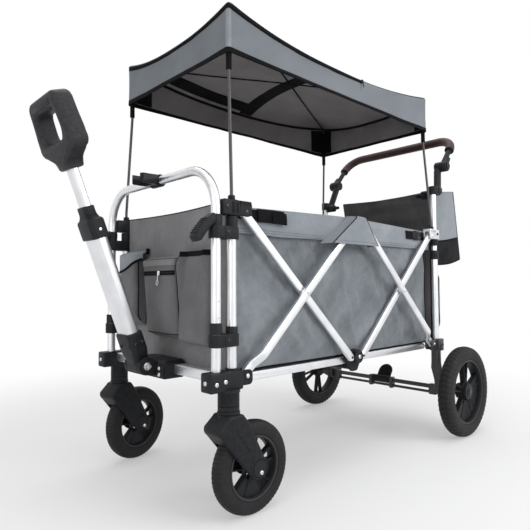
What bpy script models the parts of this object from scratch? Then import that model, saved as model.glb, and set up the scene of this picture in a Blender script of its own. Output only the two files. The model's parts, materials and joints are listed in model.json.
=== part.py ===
"""Folding hand-pulled wagon with a canopy, a telescopic drawbar and a hinged push handle.

Metres, +Z up. The wagon travels towards -X. The origin lies on the ground, in the middle of the
wagon's length and width. Sizes along X are measured from the axis of the front posts, and one empty
shifts the whole wagon so that the origin is in the middle.
"""
from math import asin, atan2, cos, degrees, hypot, pi, radians, sin, tan

import bmesh
import bpy
from mathutils import Matrix, Vector

# Driving sizes of the frame
POST_PITCH = 0.839            # front post axis to rear post axis
POST_SPAN = 0.447             # left post axis to right post axis
LOWER_PIN_Z = 0.282           # lower scissor pins
UPPER_PIN_Z = 0.621           # upper scissor pins
PIN_INSET = 0.032             # scissor pin to post axis
CENTRE_PIN_HALF = 0.025       # centre pins to the middle of the wagon
FIT = 0.0003                  # gap between pieces that seat on each other

# Tubes and pins
POST_R = 0.010
POST_WALL = 0.0015
HOOP_LEG_OFFSET = 0.0407      # hoop leg axis ahead of the front post axis
HOOP_TOP_Z = 0.711
HOOP_CORNER_R = 0.088
GUIDE_ROD_R = 0.0075
GUIDE_ROD_TOP_Z = 0.475
UPPER_TUBE_R = 0.0085
UPPER_TUBE_FOOT_Z = 0.380
UPPER_TUBE_TOP_Z = 0.783
PIN_R = 0.003
ARM_WIDTH = 0.020
ARM_THICK = 0.012
ARM_LAYER = 0.015             # outer arm plane outboard of the inner arm plane
JOGGLE_START = 0.022          # along the outer arm, from its lower pin
JOGGLE_END = 0.062

# Brackets and clamps
BRACKET_DROP = 0.023          # bracket's underside below the lower pins
BRACKET_RISE = 0.015          # bracket's top above the lower pins
BRACKET_INSET = 0.015         # bracket's inner face to the post plane
BRACKET_WIDTH = 0.035
BRACKET_REACH = 0.015         # past the post axis, away from the hoop leg
EAR_REACH = 0.014             # past the scissor pin
EAR_WIDTH = 0.026
TOP_BRACKET_DROP = 0.0095     # below the upper pins
TOP_BRACKET_RISE = 0.022      # above the upper pins
POLE_OFFSET = 0.017           # rear canopy pole ahead of the rear post axis
CLAMP_R = 0.015
CLAMP_HEIGHT = 0.026
LOWER_CLAMP_Z = 0.345
UPPER_CLAMP_Z = 0.562
SLEEVE_R = 0.0128
COLLAR_HEIGHT = 0.024
LOCK_COLLAR_LOW_Z = 0.548
LOCK_COLLAR_HEIGHT = 0.028

# Wheels, casters and rear axle
FRONT_WHEEL_R = 0.095
FRONT_TYRE_WIDTH = 0.034
FRONT_RIM_R = 0.064
REAR_WHEEL_R = 0.137
REAR_TYRE_WIDTH = 0.042
REAR_RIM_R = 0.096
RIM_DEPTH = 0.006
WHEEL_FACETS = 28
FRONT_TRACK = 0.460
REAR_TRACK = 0.594
REAR_AXLE_X = 0.869
CASTER_X = -0.014
CASTER_TRAIL = 0.058
CASTER_STEER_RIGHT = radians(13.0)
CASTER_HOUSING_R = 0.022
CASTER_NECK_Z = 0.219
CASTER_STEM_R = 0.006
AXLE_PIN_R = 0.005
AXLE_TUBE_R = 0.007
LOWER_ROD_R = 0.0045
LOWER_ROD_DROP = 0.018
LEG_WIDTH = 0.024
FORK_GAP = 0.041
FORK_LEG = 0.0075

# Cross tube, floor and centre beam
CROSS_TUBE_X = -0.0205
CROSS_TUBE_Z = 0.283
CROSS_TUBE_DEEP = 0.024
CROSS_TUBE_HIGH = 0.022
CROSS_TUBE_WALL = 0.002
RAIL_DROP = 0.009             # rail axis below the lower pins
RAIL_HEIGHT = 0.018
RAIL_THICK = 0.0100
RAIL_INNER_STEP = 0.0105      # rear rails run inside the front rails
RAIL_END_GAP = 0.006
BOARD_THICK = 0.007
BOARD_START = 0.014           # board edge past the rail pivot
BOARD_SHORT = 0.064           # board edge short of the middle, clear of the other rails as they rise
BEAM_R = 0.009
SLAT_GAP = 0.003              # board edge to the centre slat
SLAT_DROP = 0.003             # slat top below the board top
HUB_PLATE_THICK = 0.0077
HUB_BOSS_R = 0.0145
HUB_CAP_R = 0.017
HUB_CAP_THICK = 0.003

# Drawbar
DRAWBAR_PIVOT_X = -0.0836
DRAWBAR_PIVOT_Z = 0.2916
DRAWBAR_LEAN = radians(20.5)
DRAWBAR_HUB_R = 0.020
DRAWBAR_HUB_WIDTH = 0.048
DRAWBAR_LUG = 0.010
DRAWBAR_PIN_R = 0.006
OUTER_TUBE = (0.029, 0.058)   # depth along X, width along Y
INNER_TUBE = (0.017, 0.031)
OUTER_TUBE_WALL = 0.002
OUTER_TUBE_FOOT = 0.0353      # heights along the drawbar, from its pivot
OUTER_TUBE_TOP = 0.3180
SOCKET_TOP = 0.080
COLLAR_LOW = 0.296
COLLAR_STEP = 0.336
COLLAR_TOP = 0.366
COLLAR_WALL = 0.0045
INNER_TUBE_FOOT = 0.045
PLUG_THICK = 0.012
GRIP_LOW = 0.446
GRIP_SOCKET = 0.025
GRIP_THICK = 0.036
GRIP_HEIGHT = 0.150
GRIP_EDGE_R = 0.008
GRIP_NECK_HALF = 0.021
GRIP_SHOULDER = (0.066, 0.052, 0.020)   # centre and radius of the lower corners, from the grip's foot
GRIP_CROWN = (0.052, 0.126, 0.022)      # centre and radius of the upper corners
GRIP_WINDOW = (0.076, 0.062, 0.016)     # width, height and corner radius of the finger opening
GRIP_WINDOW_Z = 0.088
BASE_HALF_WIDTH = 0.060

# Push handle
HANDLE_PIVOT_X = 0.9025
HANDLE_PIVOT_Z = 0.857
HANDLE_REACH = 0.147          # pivot to the middle of the crossbar
HANDLE_LEAN = radians(40.0)
HANDLE_INSET = 0.0015         # handle leg inboard of the post plane
HANDLE_CORNER_R = 0.060
HANDLE_TUBE_R = 0.0085
HANDLE_GRIP_R = 0.0145
GRIP_START = 0.090            # along the leg, from the pivot
PIVOT_R = 0.017
PIVOT_DISC = 0.0205
BUTTON_R = 0.010
BUTTON_PROUD = 0.004
BUTTON_DEEP = 0.004
BUTTON_TRAVEL = 0.003
CLAMP_BLOCK_HEIGHT = 0.026
KNOB_R = 0.009
KNOB_LENGTH = 0.038
ARM_SHIFT = 0.012             # handle arm inboard of the post plane at its pivot

# Fabric
FABRIC = 0.0030
WALL_CLEARANCE = 0.0005       # cloth to the bracket's inner face
WALL_LOW_Z = 0.2835
WALL_TOP_Z = 0.6360
WALL_RISE = 0.012             # top edge higher in the middle
BAND_LOW_Z = 0.579
FLAP_HALF = 0.093
FLAP_TOP_HALF = 0.012
FLAP_OUT = 0.0235             # flap outboard of the post plane
POCKET_DEEP = 0.036
POUCH_DEEP = 0.116
POUCH_INSET = 0.013           # pouch narrower than the rear wall
POUCH_SLIT = 0.012            # open zip in the pouch's top
BAG_INSET = 0.0185            # bag inboard of the post plane
BAG_PROFILE = ((0.0280, 0.771), (0.0660, 0.530), (0.2220, 0.556), (0.1790, 0.791))   # from the post axis

# Canopy
CANOPY_FRONT = -0.002
CANOPY_REAR = 0.820
CANOPY_INSET = 0.0075         # canopy inboard of the post plane
CANOPY_LOW_Z = 0.960
CANOPY_CORNER_Z = 1.069
CANOPY_SAG_LONG = 0.024
CANOPY_SAG_SHORT = 0.014
CANOPY_WALL = 0.0025
POLE_R = 0.0035
POLE_SOCKET_R = 0.0060
POLE_SOCKET_LOW_Z = 0.925
POLE_STRAIGHT = 0.022         # straight stretch above the bracket

MIDDLE_X = POST_PITCH / 2
HALF_SPAN = POST_SPAN / 2
BRACKET_LOW_Z = LOWER_PIN_Z - BRACKET_DROP
BRACKET_TOP_Z = LOWER_PIN_Z + BRACKET_RISE
BRACKET_INNER_Y = HALF_SPAN - BRACKET_INSET
TOP_BRACKET_LOW_Z = UPPER_PIN_Z - TOP_BRACKET_DROP
TOP_BRACKET_TOP_Z = UPPER_PIN_Z + TOP_BRACKET_RISE
RAIL_Z = LOWER_PIN_Z - RAIL_DROP
WALL_OUTER_Y = BRACKET_INNER_Y - WALL_CLEARANCE
FLAP_Y = HALF_SPAN + FLAP_OUT
FRONT_RAIL_Y = WALL_OUTER_Y - RAIL_THICK / 2
REAR_RAIL_Y = FRONT_RAIL_Y - RAIL_INNER_STEP
POUCH_HALF_WIDTH = WALL_OUTER_Y - POUCH_INSET
BAG_HALF_WIDTH = HALF_SPAN - BAG_INSET
HANDLE_LEG_Y = HALF_SPAN - HANDLE_INSET
CANOPY_WIDTH = 2 * (HALF_SPAN - CANOPY_INSET)
CANOPY_POLE_Y = CANOPY_WIDTH / 2 - CANOPY_WALL - POLE_SOCKET_R - 2 * FIT
CANOPY_POLE_FRONT_X = CANOPY_FRONT + CANOPY_WALL + POLE_SOCKET_R + 2 * FIT
CANOPY_POLE_REAR_X = CANOPY_REAR - CANOPY_WALL - POLE_SOCKET_R - 2 * FIT
POLE_BEND_Z = TOP_BRACKET_TOP_Z + POLE_STRAIGHT
ARM_LENGTH = hypot(MIDDLE_X - CENTRE_PIN_HALF - PIN_INSET, UPPER_PIN_Z - LOWER_PIN_Z)
GRIP_TOP = GRIP_LOW + GRIP_HEIGHT
WAGON_FRONT_X = DRAWBAR_PIVOT_X - GRIP_TOP * sin(DRAWBAR_LEAN) - GRIP_THICK / 2 * cos(DRAWBAR_LEAN)
WAGON_SHIFT = -(WAGON_FRONT_X + POST_PITCH + max(x for x, z in BAG_PROFILE)) / 2
SIDES = (("left", -1), ("right", 1))

for old in list(bpy.data.objects):
    bpy.data.objects.remove(old, do_unlink=True)


def new_collection(name):
    """Add a collection to the scene."""
    made = bpy.data.collections.new(name)
    bpy.context.scene.collection.children.link(made)
    return made


WAGON = new_collection("folding_wagon")
CUTTERS = new_collection("cutters")


def new_axis(name, place=(0, 0, 0), turn=(0, 0, 0), parent=None):
    """An empty that stands for a joint's axis or for the whole wagon."""
    axis = bpy.data.objects.new(name, None)
    WAGON.objects.link(axis)
    axis.location = place
    axis.rotation_euler = turn
    axis.parent = parent
    if parent is not None and parent.name != "wagon_frame":
        axis.matrix_parent_inverse = Matrix.Translation(-parent.location)
    return axis


FRAME = new_axis("wagon_frame", (WAGON_SHIFT, 0, 0))


def material(name, colour, roughness, metallic=0.0):
    """A plain Principled material."""
    made = bpy.data.materials.new(name)
    made.use_nodes = True
    shader = made.node_tree.nodes["Principled BSDF"]
    shader.inputs["Base Color"].default_value = (*colour, 1)
    shader.inputs["Roughness"].default_value = roughness
    shader.inputs["Metallic"].default_value = metallic
    return made


ALUMINIUM = material("satin_aluminium", (0.72, 0.73, 0.74), 0.35, 1.0)
PLASTIC = material("black_plastic", (0.020, 0.021, 0.023), 0.45)
STEEL = material("black_coated_steel", (0.016, 0.016, 0.018), 0.35, 0.3)
RUBBER = material("tyre_rubber", (0.022, 0.022, 0.024), 0.80)
FABRIC_GREY = material("grey_polyester", (0.13, 0.14, 0.15), 0.85)
LINING = material("dark_lining", (0.045, 0.045, 0.050), 0.90)
LEATHERETTE = material("brown_leatherette", (0.060, 0.026, 0.020), 0.55)
BOARD = material("floor_board", (0.030, 0.030, 0.032), 0.75)


# Solids made from Blender's modelling tools

def finish(ob, paint, parent=None, smooth=30):
    """Give an object its material, its collection, its parent and its shading."""
    ob.data.materials.clear()
    ob.data.materials.append(paint)
    WAGON.objects.link(ob)
    ob.parent = parent or FRAME
    if parent is not None:
        ob.matrix_parent_inverse = Matrix.Translation(-parent.location)
    if ob.type == "MESH":
        ob.data.shade_smooth()
        ob.data.set_sharp_from_angle(angle=radians(smooth))
    return ob


def mesh_object(name, bm, paint, parent=None, place=None):
    """Turn a bmesh into an object and free the bmesh."""
    data = bpy.data.meshes.new(name)
    bm.to_mesh(data)
    bm.free()
    ob = bpy.data.objects.new(name, data)
    if place is not None:
        ob.matrix_basis = place
    return finish(ob, paint, parent)


def block(name, low, high, paint, parent=None, edge=0.0):
    """A box between two corners, its edges rounded by a bevel."""
    low, high = Vector(low), Vector(high)
    bm = bmesh.new()
    bmesh.ops.create_cube(bm, size=1)
    bmesh.ops.scale(bm, vec=high - low, verts=bm.verts)
    ob = mesh_object(name, bm, paint, parent, Matrix.Translation((low + high) / 2))
    if edge:
        round_edges(ob, edge)
    return ob


def round_edges(ob, width, segments=1):
    """Bevel the sharp edges of an object."""
    bevel = ob.modifiers.new("round_edges", "BEVEL")
    bevel.width = width
    bevel.segments = segments
    bevel.limit_method = "ANGLE"
    bevel.angle_limit = radians(40)


def rod(name, start, end, radius, paint, parent=None, sides=None):
    """A cylinder between two points, with fewer facets on a thin one."""
    start, end = Vector(start), Vector(end)
    sides = sides or (12 if radius < 0.0065 else 16)
    bm = bmesh.new()
    bmesh.ops.create_cone(bm, cap_ends=True, segments=sides, radius1=radius, radius2=radius,
                          depth=(end - start).length)
    turn = (end - start).to_track_quat("Z", "Y").to_matrix().to_4x4()
    return mesh_object(name, bm, paint, parent, Matrix.Translation((start + end) / 2) @ turn)


def frame_matrix(place, x_axis, z_axis):
    """The placing matrix of an object whose own X and Z point along two given directions."""
    x_axis = Vector(x_axis).normalized()
    z_axis = Vector(z_axis).normalized()
    turn = Matrix((x_axis, z_axis.cross(x_axis), z_axis)).transposed()
    return Matrix.Translation(place) @ turn.to_4x4()


def plate(name, outlines, thick, place, paint, parent=None):
    """A flat plate: its first outline, less the holes that follow it, thickened both ways."""
    curve = bpy.data.curves.new(name, "CURVE")
    curve.dimensions = "2D"
    curve.fill_mode = "BOTH"
    curve.extrude = thick / 2
    for outline in outlines:
        spline = curve.splines.new("POLY")
        spline.points.add(len(outline) - 1)
        for point, (x, y) in zip(spline.points, outline):
            point.co = (x, y, 0, 1)
        spline.use_cyclic_u = True
    ob = bpy.data.objects.new(name, curve)
    ob.matrix_basis = place
    finish(ob, paint, parent)
    return welded_mesh(ob)


def swept(name, points, radius, paint, parent=None, sides=12):
    """A round tube along points, with closed ends."""
    curve = bpy.data.curves.new(name, "CURVE")
    curve.dimensions = "3D"
    curve.bevel_depth = radius
    curve.bevel_resolution = sides // 2 - 2
    curve.use_fill_caps = True
    spline = curve.splines.new("POLY")
    spline.points.add(len(points) - 1)
    for point, co in zip(spline.points, points):
        point.co = (*co, 1)
    ob = bpy.data.objects.new(name, curve)
    finish(ob, paint, parent)
    return welded_mesh(ob)


def welded_mesh(ob):
    """Replace a curve object by its mesh, with the loose caps welded on."""
    bpy.context.view_layer.update()
    shape = ob.evaluated_get(bpy.context.evaluated_depsgraph_get())
    data = bpy.data.meshes.new_from_object(shape)
    bm = bmesh.new()
    bm.from_mesh(data)
    bmesh.ops.remove_doubles(bm, verts=bm.verts, dist=1e-5)
    bmesh.ops.recalc_face_normals(bm, faces=bm.faces)
    bm.to_mesh(data)
    bm.free()
    name, paint, parent, place = ob.name, ob.data.materials[0], ob.parent, ob.matrix_basis.copy()
    old = ob.data
    bpy.data.objects.remove(ob, do_unlink=True)
    bpy.data.curves.remove(old)
    made = bpy.data.objects.new(name, data)
    made.matrix_basis = place
    return finish(made, paint, None if parent == FRAME else parent)


def turned(name, profile, place, paint, parent=None, steps=WHEEL_FACETS):
    """A ring: a closed profile of (radius, height) points turned about the object's Z."""
    bm = bmesh.new()
    corners = [bm.verts.new((r, 0, z)) for r, z in profile]
    for first, second in zip(corners, corners[1:] + corners[:1]):
        bm.edges.new((first, second))
    ob = mesh_object(name, bm, paint, parent, place)
    screw = ob.modifiers.new("turn", "SCREW")
    screw.axis = "Z"
    screw.steps = screw.render_steps = steps
    screw.use_merge_vertices = True
    screw.merge_threshold = 1e-5
    screw.use_smooth_shade = True
    return ob


def boolean(ob, tool, operation):
    """Join, cut or intersect an object with a tool, which is then hidden."""
    step = ob.modifiers.new(operation.lower(), "BOOLEAN")
    step.operation = operation
    step.solver = "EXACT"
    step.object = tool
    if tool.name in WAGON.objects:
        WAGON.objects.unlink(tool)
        CUTTERS.objects.link(tool)
    tool.hide_render = True
    tool.display_type = "WIRE"
    return ob


def join(ob, *tools):
    """Union an object with others."""
    for tool in tools:
        boolean(ob, tool, "UNION")
    return ob


def cut(ob, *tools):
    """Cut others out of an object."""
    for tool in tools:
        boolean(ob, tool, "DIFFERENCE")
    return ob


def arc(centre, radius, start, end, count):
    """Points on an arc, angles in degrees."""
    turns = [radians(start + (end - start) * i / count) for i in range(count + 1)]
    return [(centre[0] + radius * cos(t), centre[1] + radius * sin(t)) for t in turns]


def circle(centre, radius, count=16):
    """Points round a full circle."""
    return arc(centre, radius, 0, 360, count)[:-1]


def stadium(length, radius, count=5):
    """A bar with round ends, its end centres at 0 and at length on X."""
    return arc((length, 0), radius, -90, 90, count) + arc((0, 0), radius, 90, 270, count)


def rounded_rectangle(deep, wide, radius, count=3):
    """A rectangle about the origin with round corners."""
    x, y = deep / 2 - radius, wide / 2 - radius
    corners = (((x, -y), -90), ((x, y), 0), ((-x, y), 90), ((-x, -y), 180))
    return [p for centre, start in corners for p in arc(centre, radius, start, start + 90, count)]


def rectangle(x0, y0, x1, y1):
    """A plain rectangle."""
    return [(x0, y0), (x1, y0), (x1, y1), (x0, y1)]


def side_view(y, x=0.0, z=0.0):
    """Placing for an outline drawn in X and Z and thickened along Y."""
    return frame_matrix((x, y, z), (1, 0, 0), (0, -1, 0))


def end_view(x, y=0.0, z=0.0):
    """Placing for an outline drawn in Y and Z and thickened along X."""
    return frame_matrix((x, y, z), (0, 1, 0), (1, 0, 0))


def plan_view(z, x=0.0, y=0.0):
    """Placing for an outline drawn in X and Y and thickened along Z."""
    return frame_matrix((x, y, z), (1, 0, 0), (0, 0, 1))


def side_block(name, s, x0, x1, y0, y1, z0, z1, paint, edge=0.0, parent=None):
    """A block on one side of the wagon, its Y values measured outwards from the middle."""
    near, far = sorted((s * y0, s * y1))
    return block(name, (x0, near, z0), (x1, far, z1), paint, parent, edge)


# Front frame

def bottom_bracket(name, s, post_x, ahead, paint):
    """A corner bracket at a post's foot: body with ear, arm slot, arm pin and rail pin.

    ahead is +1 where the scissor lies towards +X of the post, and -1 where it lies towards -X.
    """
    inner, outer = BRACKET_INNER_Y, BRACKET_INNER_Y + BRACKET_WIDTH
    far_end = HOOP_LEG_OFFSET + POST_R + 0.017 if ahead > 0 else BRACKET_REACH
    xs = sorted((post_x - ahead * far_end, post_x + ahead * BRACKET_REACH))
    body = side_block(name, s, xs[0], xs[1], inner, outer, BRACKET_LOW_Z, BRACKET_TOP_Z, paint, 0.003)
    pin_x = post_x + ahead * PIN_INSET
    ear_mid = HALF_SPAN
    ear = sorted((post_x + ahead * (BRACKET_REACH - 0.006), pin_x + ahead * EAR_REACH))
    lug = side_block(name + "_ear", s, ear[0], ear[1], ear_mid - EAR_WIDTH / 2, ear_mid + EAR_WIDTH / 2,
                     BRACKET_LOW_Z + 0.005, BRACKET_TOP_Z - 0.002, paint, 0.002)
    slot_half = ARM_THICK / 2 + FIT
    slot = sorted((post_x + ahead * (BRACKET_REACH + 0.002), pin_x + ahead * (EAR_REACH + 0.01)))
    arm_slot = side_block(name + "_slot", s, slot[0], slot[1], ear_mid - slot_half, ear_mid + slot_half,
                          LOWER_PIN_Z - ARM_WIDTH / 2 - 0.001, BRACKET_TOP_Z + 0.02, paint)
    pin = rod(name + "_pin", (pin_x, s * (ear_mid - EAR_WIDTH / 2 + 0.001), LOWER_PIN_Z),
              (pin_x, s * (ear_mid + EAR_WIDTH / 2 + 0.0015), LOWER_PIN_Z), PIN_R, paint)
    rail_y = FRONT_RAIL_Y if ahead > 0 else REAR_RAIL_Y
    rail_pin = rod(name + "_rail_pin", (pin_x, s * (rail_y - RAIL_THICK / 2 - 0.001), RAIL_Z),
                   (pin_x, s * (ear_mid - EAR_WIDTH / 2 + 0.002), RAIL_Z), PIN_R, paint)
    post_hole = rod(name + "_post_hole", (post_x, s * HALF_SPAN, BRACKET_LOW_Z + 0.005),
                    (post_x, s * HALF_SPAN, BRACKET_TOP_Z + 0.01), POST_R + FIT, paint)
    join(body, lug)
    cut(body, arm_slot)
    join(body, pin, rail_pin)
    return body, post_hole


def front_bracket(side, s):
    """Front corner bracket with the caster housing below and the guide rod of the hoop leg."""
    name = "front_bracket_" + side
    body, post_hole = bottom_bracket(name, s, 0.0, 1, PLASTIC)
    caster_y = s * FRONT_TRACK / 2
    housing = rod(name + "_housing", (CASTER_X, caster_y, CASTER_NECK_Z + FIT),
                  (CASTER_X, caster_y, BRACKET_LOW_Z + 0.004), CASTER_HOUSING_R, PLASTIC, sides=20)
    stem_hole = rod(name + "_stem_hole", (CASTER_X, caster_y, CASTER_NECK_Z - 0.01),
                    (CASTER_X, caster_y, CASTER_NECK_Z + 0.034), CASTER_STEM_R + FIT, PLASTIC)
    guide = rod(name + "_guide", (-HOOP_LEG_OFFSET, s * HALF_SPAN, BRACKET_TOP_Z - 0.006),
                (-HOOP_LEG_OFFSET, s * HALF_SPAN, GUIDE_ROD_TOP_Z), GUIDE_ROD_R, PLASTIC)
    join(body, housing, guide)
    return cut(body, post_hole, stem_hole)


def front_post(side, s):
    """Front post: an aluminium tube that carries two double clamps, which guide the hoop leg."""
    name = "front_post_" + side
    y = s * HALF_SPAN
    tube = rod(name, (0, y, BRACKET_LOW_Z + 0.005 + FIT), (0, y, TOP_BRACKET_LOW_Z - 0.004), POST_R, ALUMINIUM)
    clamp_outline = [(x - HOOP_LEG_OFFSET, z) for x, z in stadium(HOOP_LEG_OFFSET, CLAMP_R)]
    hole = circle((-HOOP_LEG_OFFSET, 0), POST_R + FIT)
    for label, low in (("lower", LOWER_CLAMP_Z), ("upper", UPPER_CLAMP_Z)):
        join(tube, plate(name + "_clamp_" + label, [clamp_outline, hole], CLAMP_HEIGHT,
                         plan_view(low + CLAMP_HEIGHT / 2, 0, y), PLASTIC))
    top = UPPER_CLAMP_Z + CLAMP_HEIGHT
    sleeve = rod(name + "_sleeve", (0, y, top - 0.004), (0, y, TOP_BRACKET_LOW_Z - 0.0025), SLEEVE_R, PLASTIC)
    join(tube, sleeve)
    bore = rod(name + "_bore", (0, y, BRACKET_LOW_Z - 0.01), (0, y, TOP_BRACKET_LOW_Z - 0.010),
               POST_R - POST_WALL, ALUMINIUM)
    return cut(tube, bore)


def front_cross_tube():
    """Rectangular tube that joins the two front brackets."""
    outer = rounded_rectangle(CROSS_TUBE_DEEP, CROSS_TUBE_HIGH, 0.003, 2)
    inner = rounded_rectangle(CROSS_TUBE_DEEP - 2 * CROSS_TUBE_WALL, CROSS_TUBE_HIGH - 2 * CROSS_TUBE_WALL,
                              0.0015, 2)
    return plate("front_cross_tube", [outer, inner], 2 * (BRACKET_INNER_Y - FIT),
                 side_view(0, CROSS_TUBE_X, CROSS_TUBE_Z), ALUMINIUM)


def drawbar_base():
    """Saddle clamped round the cross tube, with two lugs and the pivot pin of the drawbar."""
    low, high = CROSS_TUBE_Z - 0.021, CROSS_TUBE_Z + 0.021
    front = -0.062
    outline = (arc((front + 0.008, low + 0.008), 0.008, 180, 270, 4) + [(-0.004, low), (-0.004, high)]
               + arc((front + 0.016, high - 0.016), 0.016, 90, 180, 4))
    x0 = CROSS_TUBE_X - CROSS_TUBE_DEEP / 2 - FIT
    z0 = CROSS_TUBE_Z - CROSS_TUBE_HIGH / 2 - FIT
    hole = rectangle(x0, z0, x0 + CROSS_TUBE_DEEP + 2 * FIT, z0 + CROSS_TUBE_HIGH + 2 * FIT)
    body = plate("drawbar_base", [outline, hole], 2 * BASE_HALF_WIDTH, side_view(0), PLASTIC)
    pivot = (DRAWBAR_PIVOT_X, DRAWBAR_PIVOT_Z)
    lug_outline = (arc(pivot, DRAWBAR_HUB_R, 90, 260, 6)
                   + [(front + 0.012, low + 0.006), (front + 0.012, high - 0.010)])
    lug_y = DRAWBAR_HUB_WIDTH / 2 + FIT + DRAWBAR_LUG / 2
    for s in (-1, 1):
        join(body, plate("drawbar_base_lug", [lug_outline], DRAWBAR_LUG, side_view(s * lug_y), PLASTIC))
    reach = lug_y + DRAWBAR_LUG / 2 + 0.002
    pin = rod("drawbar_base_pin", (DRAWBAR_PIVOT_X, -reach, DRAWBAR_PIVOT_Z),
              (DRAWBAR_PIVOT_X, reach, DRAWBAR_PIVOT_Z), DRAWBAR_PIN_R, PLASTIC)
    return join(body, pin)


# Front carriage

def hoop_tube():
    """The bent tube whose two legs slide in the clamps, with a stop collar above each clamp."""
    x = -HOOP_LEG_OFFSET
    low = BRACKET_TOP_Z + FIT
    flat = HALF_SPAN - HOOP_CORNER_R
    bend_z = HOOP_TOP_Z - HOOP_CORNER_R
    corner = arc((flat, bend_z), HOOP_CORNER_R, 0, 90, 6)
    half = [(HALF_SPAN, low), (HALF_SPAN, (low + bend_z) / 2)] + corner
    path = [(x, -y, z) for y, z in half] + [(x, y, z) for y, z in reversed(half)]
    tube = swept("hoop_tube", path, POST_R, ALUMINIUM)
    for side, s in SIDES:
        y = s * HALF_SPAN
        for clamp_z in (LOWER_CLAMP_Z, UPPER_CLAMP_Z):
            foot = clamp_z + CLAMP_HEIGHT + FIT
            join(tube, rod("hoop_collar", (x, y, foot), (x, y, foot + COLLAR_HEIGHT - 0.0016), SLEEVE_R, PLASTIC))
        cut(tube, rod("hoop_bore", (x, y, BRACKET_LOW_Z), (x, y, GUIDE_ROD_TOP_Z + 0.006),
                      GUIDE_ROD_R + FIT, ALUMINIUM))
    return tube


def front_top_bracket(side, s):
    """Bracket bolted to the hoop leg: arm slot with its pin behind, canopy pole socket in the middle."""
    name = "front_top_bracket_" + side
    y = s * HALF_SPAN
    body = side_block(name, s, -HOOP_LEG_OFFSET + 0.004, PIN_INSET + EAR_REACH, HALF_SPAN - EAR_WIDTH / 2,
                      HALF_SPAN + EAR_WIDTH / 2, TOP_BRACKET_LOW_Z, TOP_BRACKET_TOP_Z, PLASTIC, 0.002)
    boss = rod(name + "_boss", (0, y, TOP_BRACKET_LOW_Z + 0.001), (0, y, TOP_BRACKET_TOP_Z - 0.001), 0.0145, PLASTIC)
    leg_cut = rod(name + "_leg_cut", (-HOOP_LEG_OFFSET, y, TOP_BRACKET_LOW_Z - 0.01),
                  (-HOOP_LEG_OFFSET, y, TOP_BRACKET_TOP_Z + 0.01), SLEEVE_R + FIT, PLASTIC)
    slot = arm_slot_below(name, s, 0.0, 1)
    pin = rod(name + "_pin", (PIN_INSET, s * (HALF_SPAN - EAR_WIDTH / 2 + 0.001), UPPER_PIN_Z),
              (PIN_INSET, s * (HALF_SPAN + EAR_WIDTH / 2 + 0.0015), UPPER_PIN_Z), PIN_R, PLASTIC)
    socket = rod(name + "_socket", (0, y, TOP_BRACKET_TOP_Z - 0.019), (0, y, TOP_BRACKET_TOP_Z + 0.01),
                 POLE_R + FIT, PLASTIC)
    join(body, boss)
    cut(body, leg_cut, slot, socket)
    return join(body, pin)


def arm_slot_below(name, s, post_x, ahead):
    """The slot in a top bracket that takes an arm's upper end, open below and outwards."""
    slot_half = ARM_THICK / 2 + FIT
    xs = sorted((post_x + ahead * (PIN_INSET - ARM_WIDTH / 2 - 0.0055),
                 post_x + ahead * (PIN_INSET + EAR_REACH + 0.01)))
    return side_block(name + "_slot", s, xs[0], xs[1], HALF_SPAN - slot_half, HALF_SPAN + slot_half,
                      TOP_BRACKET_LOW_Z - 0.02, UPPER_PIN_Z + ARM_WIDTH / 2 + 0.001, PLASTIC)


def canopy_pole(name, s, foot_x, foot_z, top_x):
    """A thin pole that stands in its bracket and leans in to the canopy's corner pocket."""
    top_y = s * CANOPY_POLE_Y
    y = s * HALF_SPAN
    low = (top_x, top_y, POLE_SOCKET_LOW_Z)
    top = (top_x, top_y, CANOPY_CORNER_Z - CANOPY_WALL - 0.0036)
    pole = swept(name, [(foot_x, y, foot_z), (foot_x, y, POLE_BEND_Z), low, (top_x, top_y, top[2] - 0.004)],
                 POLE_R, STEEL, sides=8)
    return join(pole, rod(name + "_sleeve", low, top, POLE_SOCKET_R, PLASTIC))


def hoop_clip():
    """Clip on the hoop's top that holds the drawbar's inner tube when it is stowed upright."""
    x = -HOOP_LEG_OFFSET
    ring = plate("hoop_clip", [circle((0, 0), POST_R + 0.0045), circle((0, 0), POST_R + FIT)], 0.036,
                 side_view(0, x, HOOP_TOP_Z), PLASTIC)
    gap = INNER_TUBE[1] / 2 + 0.001
    back, tip = x - POST_R - 0.002, DRAWBAR_PIVOT_X - 0.010
    outline = [(back, -gap - 0.007), (back, gap + 0.007), (tip, gap + 0.007), (tip - 0.003, gap + 0.001),
               (tip + 0.003, gap), (back - 0.008, gap), (back - 0.008, -gap), (tip + 0.003, -gap),
               (tip - 0.003, -gap - 0.001), (tip, -gap - 0.007)]
    jaw = plate("hoop_clip_jaw", [outline], 0.022, plan_view(HOOP_TOP_Z), PLASTIC)
    return join(ring, jaw)


def front_wall():
    """Front fabric wall with its three pockets."""
    half = WALL_OUTER_Y - FIT
    top = [(half * (1 - i / 6), WALL_TOP_Z - 0.012 * (1 - ((1 - i / 6)) ** 2)) for i in range(13)]
    outline = [(-half, WALL_LOW_Z), (half, WALL_LOW_Z)] + top
    wall = plate("front_wall", [outline], FABRIC, end_view(0.0005 + FABRIC / 2), FABRIC_GREY)
    for name, y0, y1, z0, z1, deep in (("flap", 0.118, 0.195, 0.380, 0.565, POCKET_DEEP),
                                       ("zip", -0.048, 0.110, 0.350, 0.545, POCKET_DEEP - 0.008),
                                       ("tall", -0.180, -0.056, 0.345, 0.560, POCKET_DEEP)):
        section = pocket_section(y0, y1, deep, 0.0)
        join(wall, plate("front_wall_pocket_" + name, [section], z1 - z0, plan_view((z0 + z1) / 2), FABRIC_GREY))
    mouth = plate("front_wall_pocket_mouth", [pocket_section(y0, y1, deep, FABRIC)], z1 - z0,
                  plan_view((z0 + z1) / 2 + FABRIC), LINING)
    return cut(wall, mouth)


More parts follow.
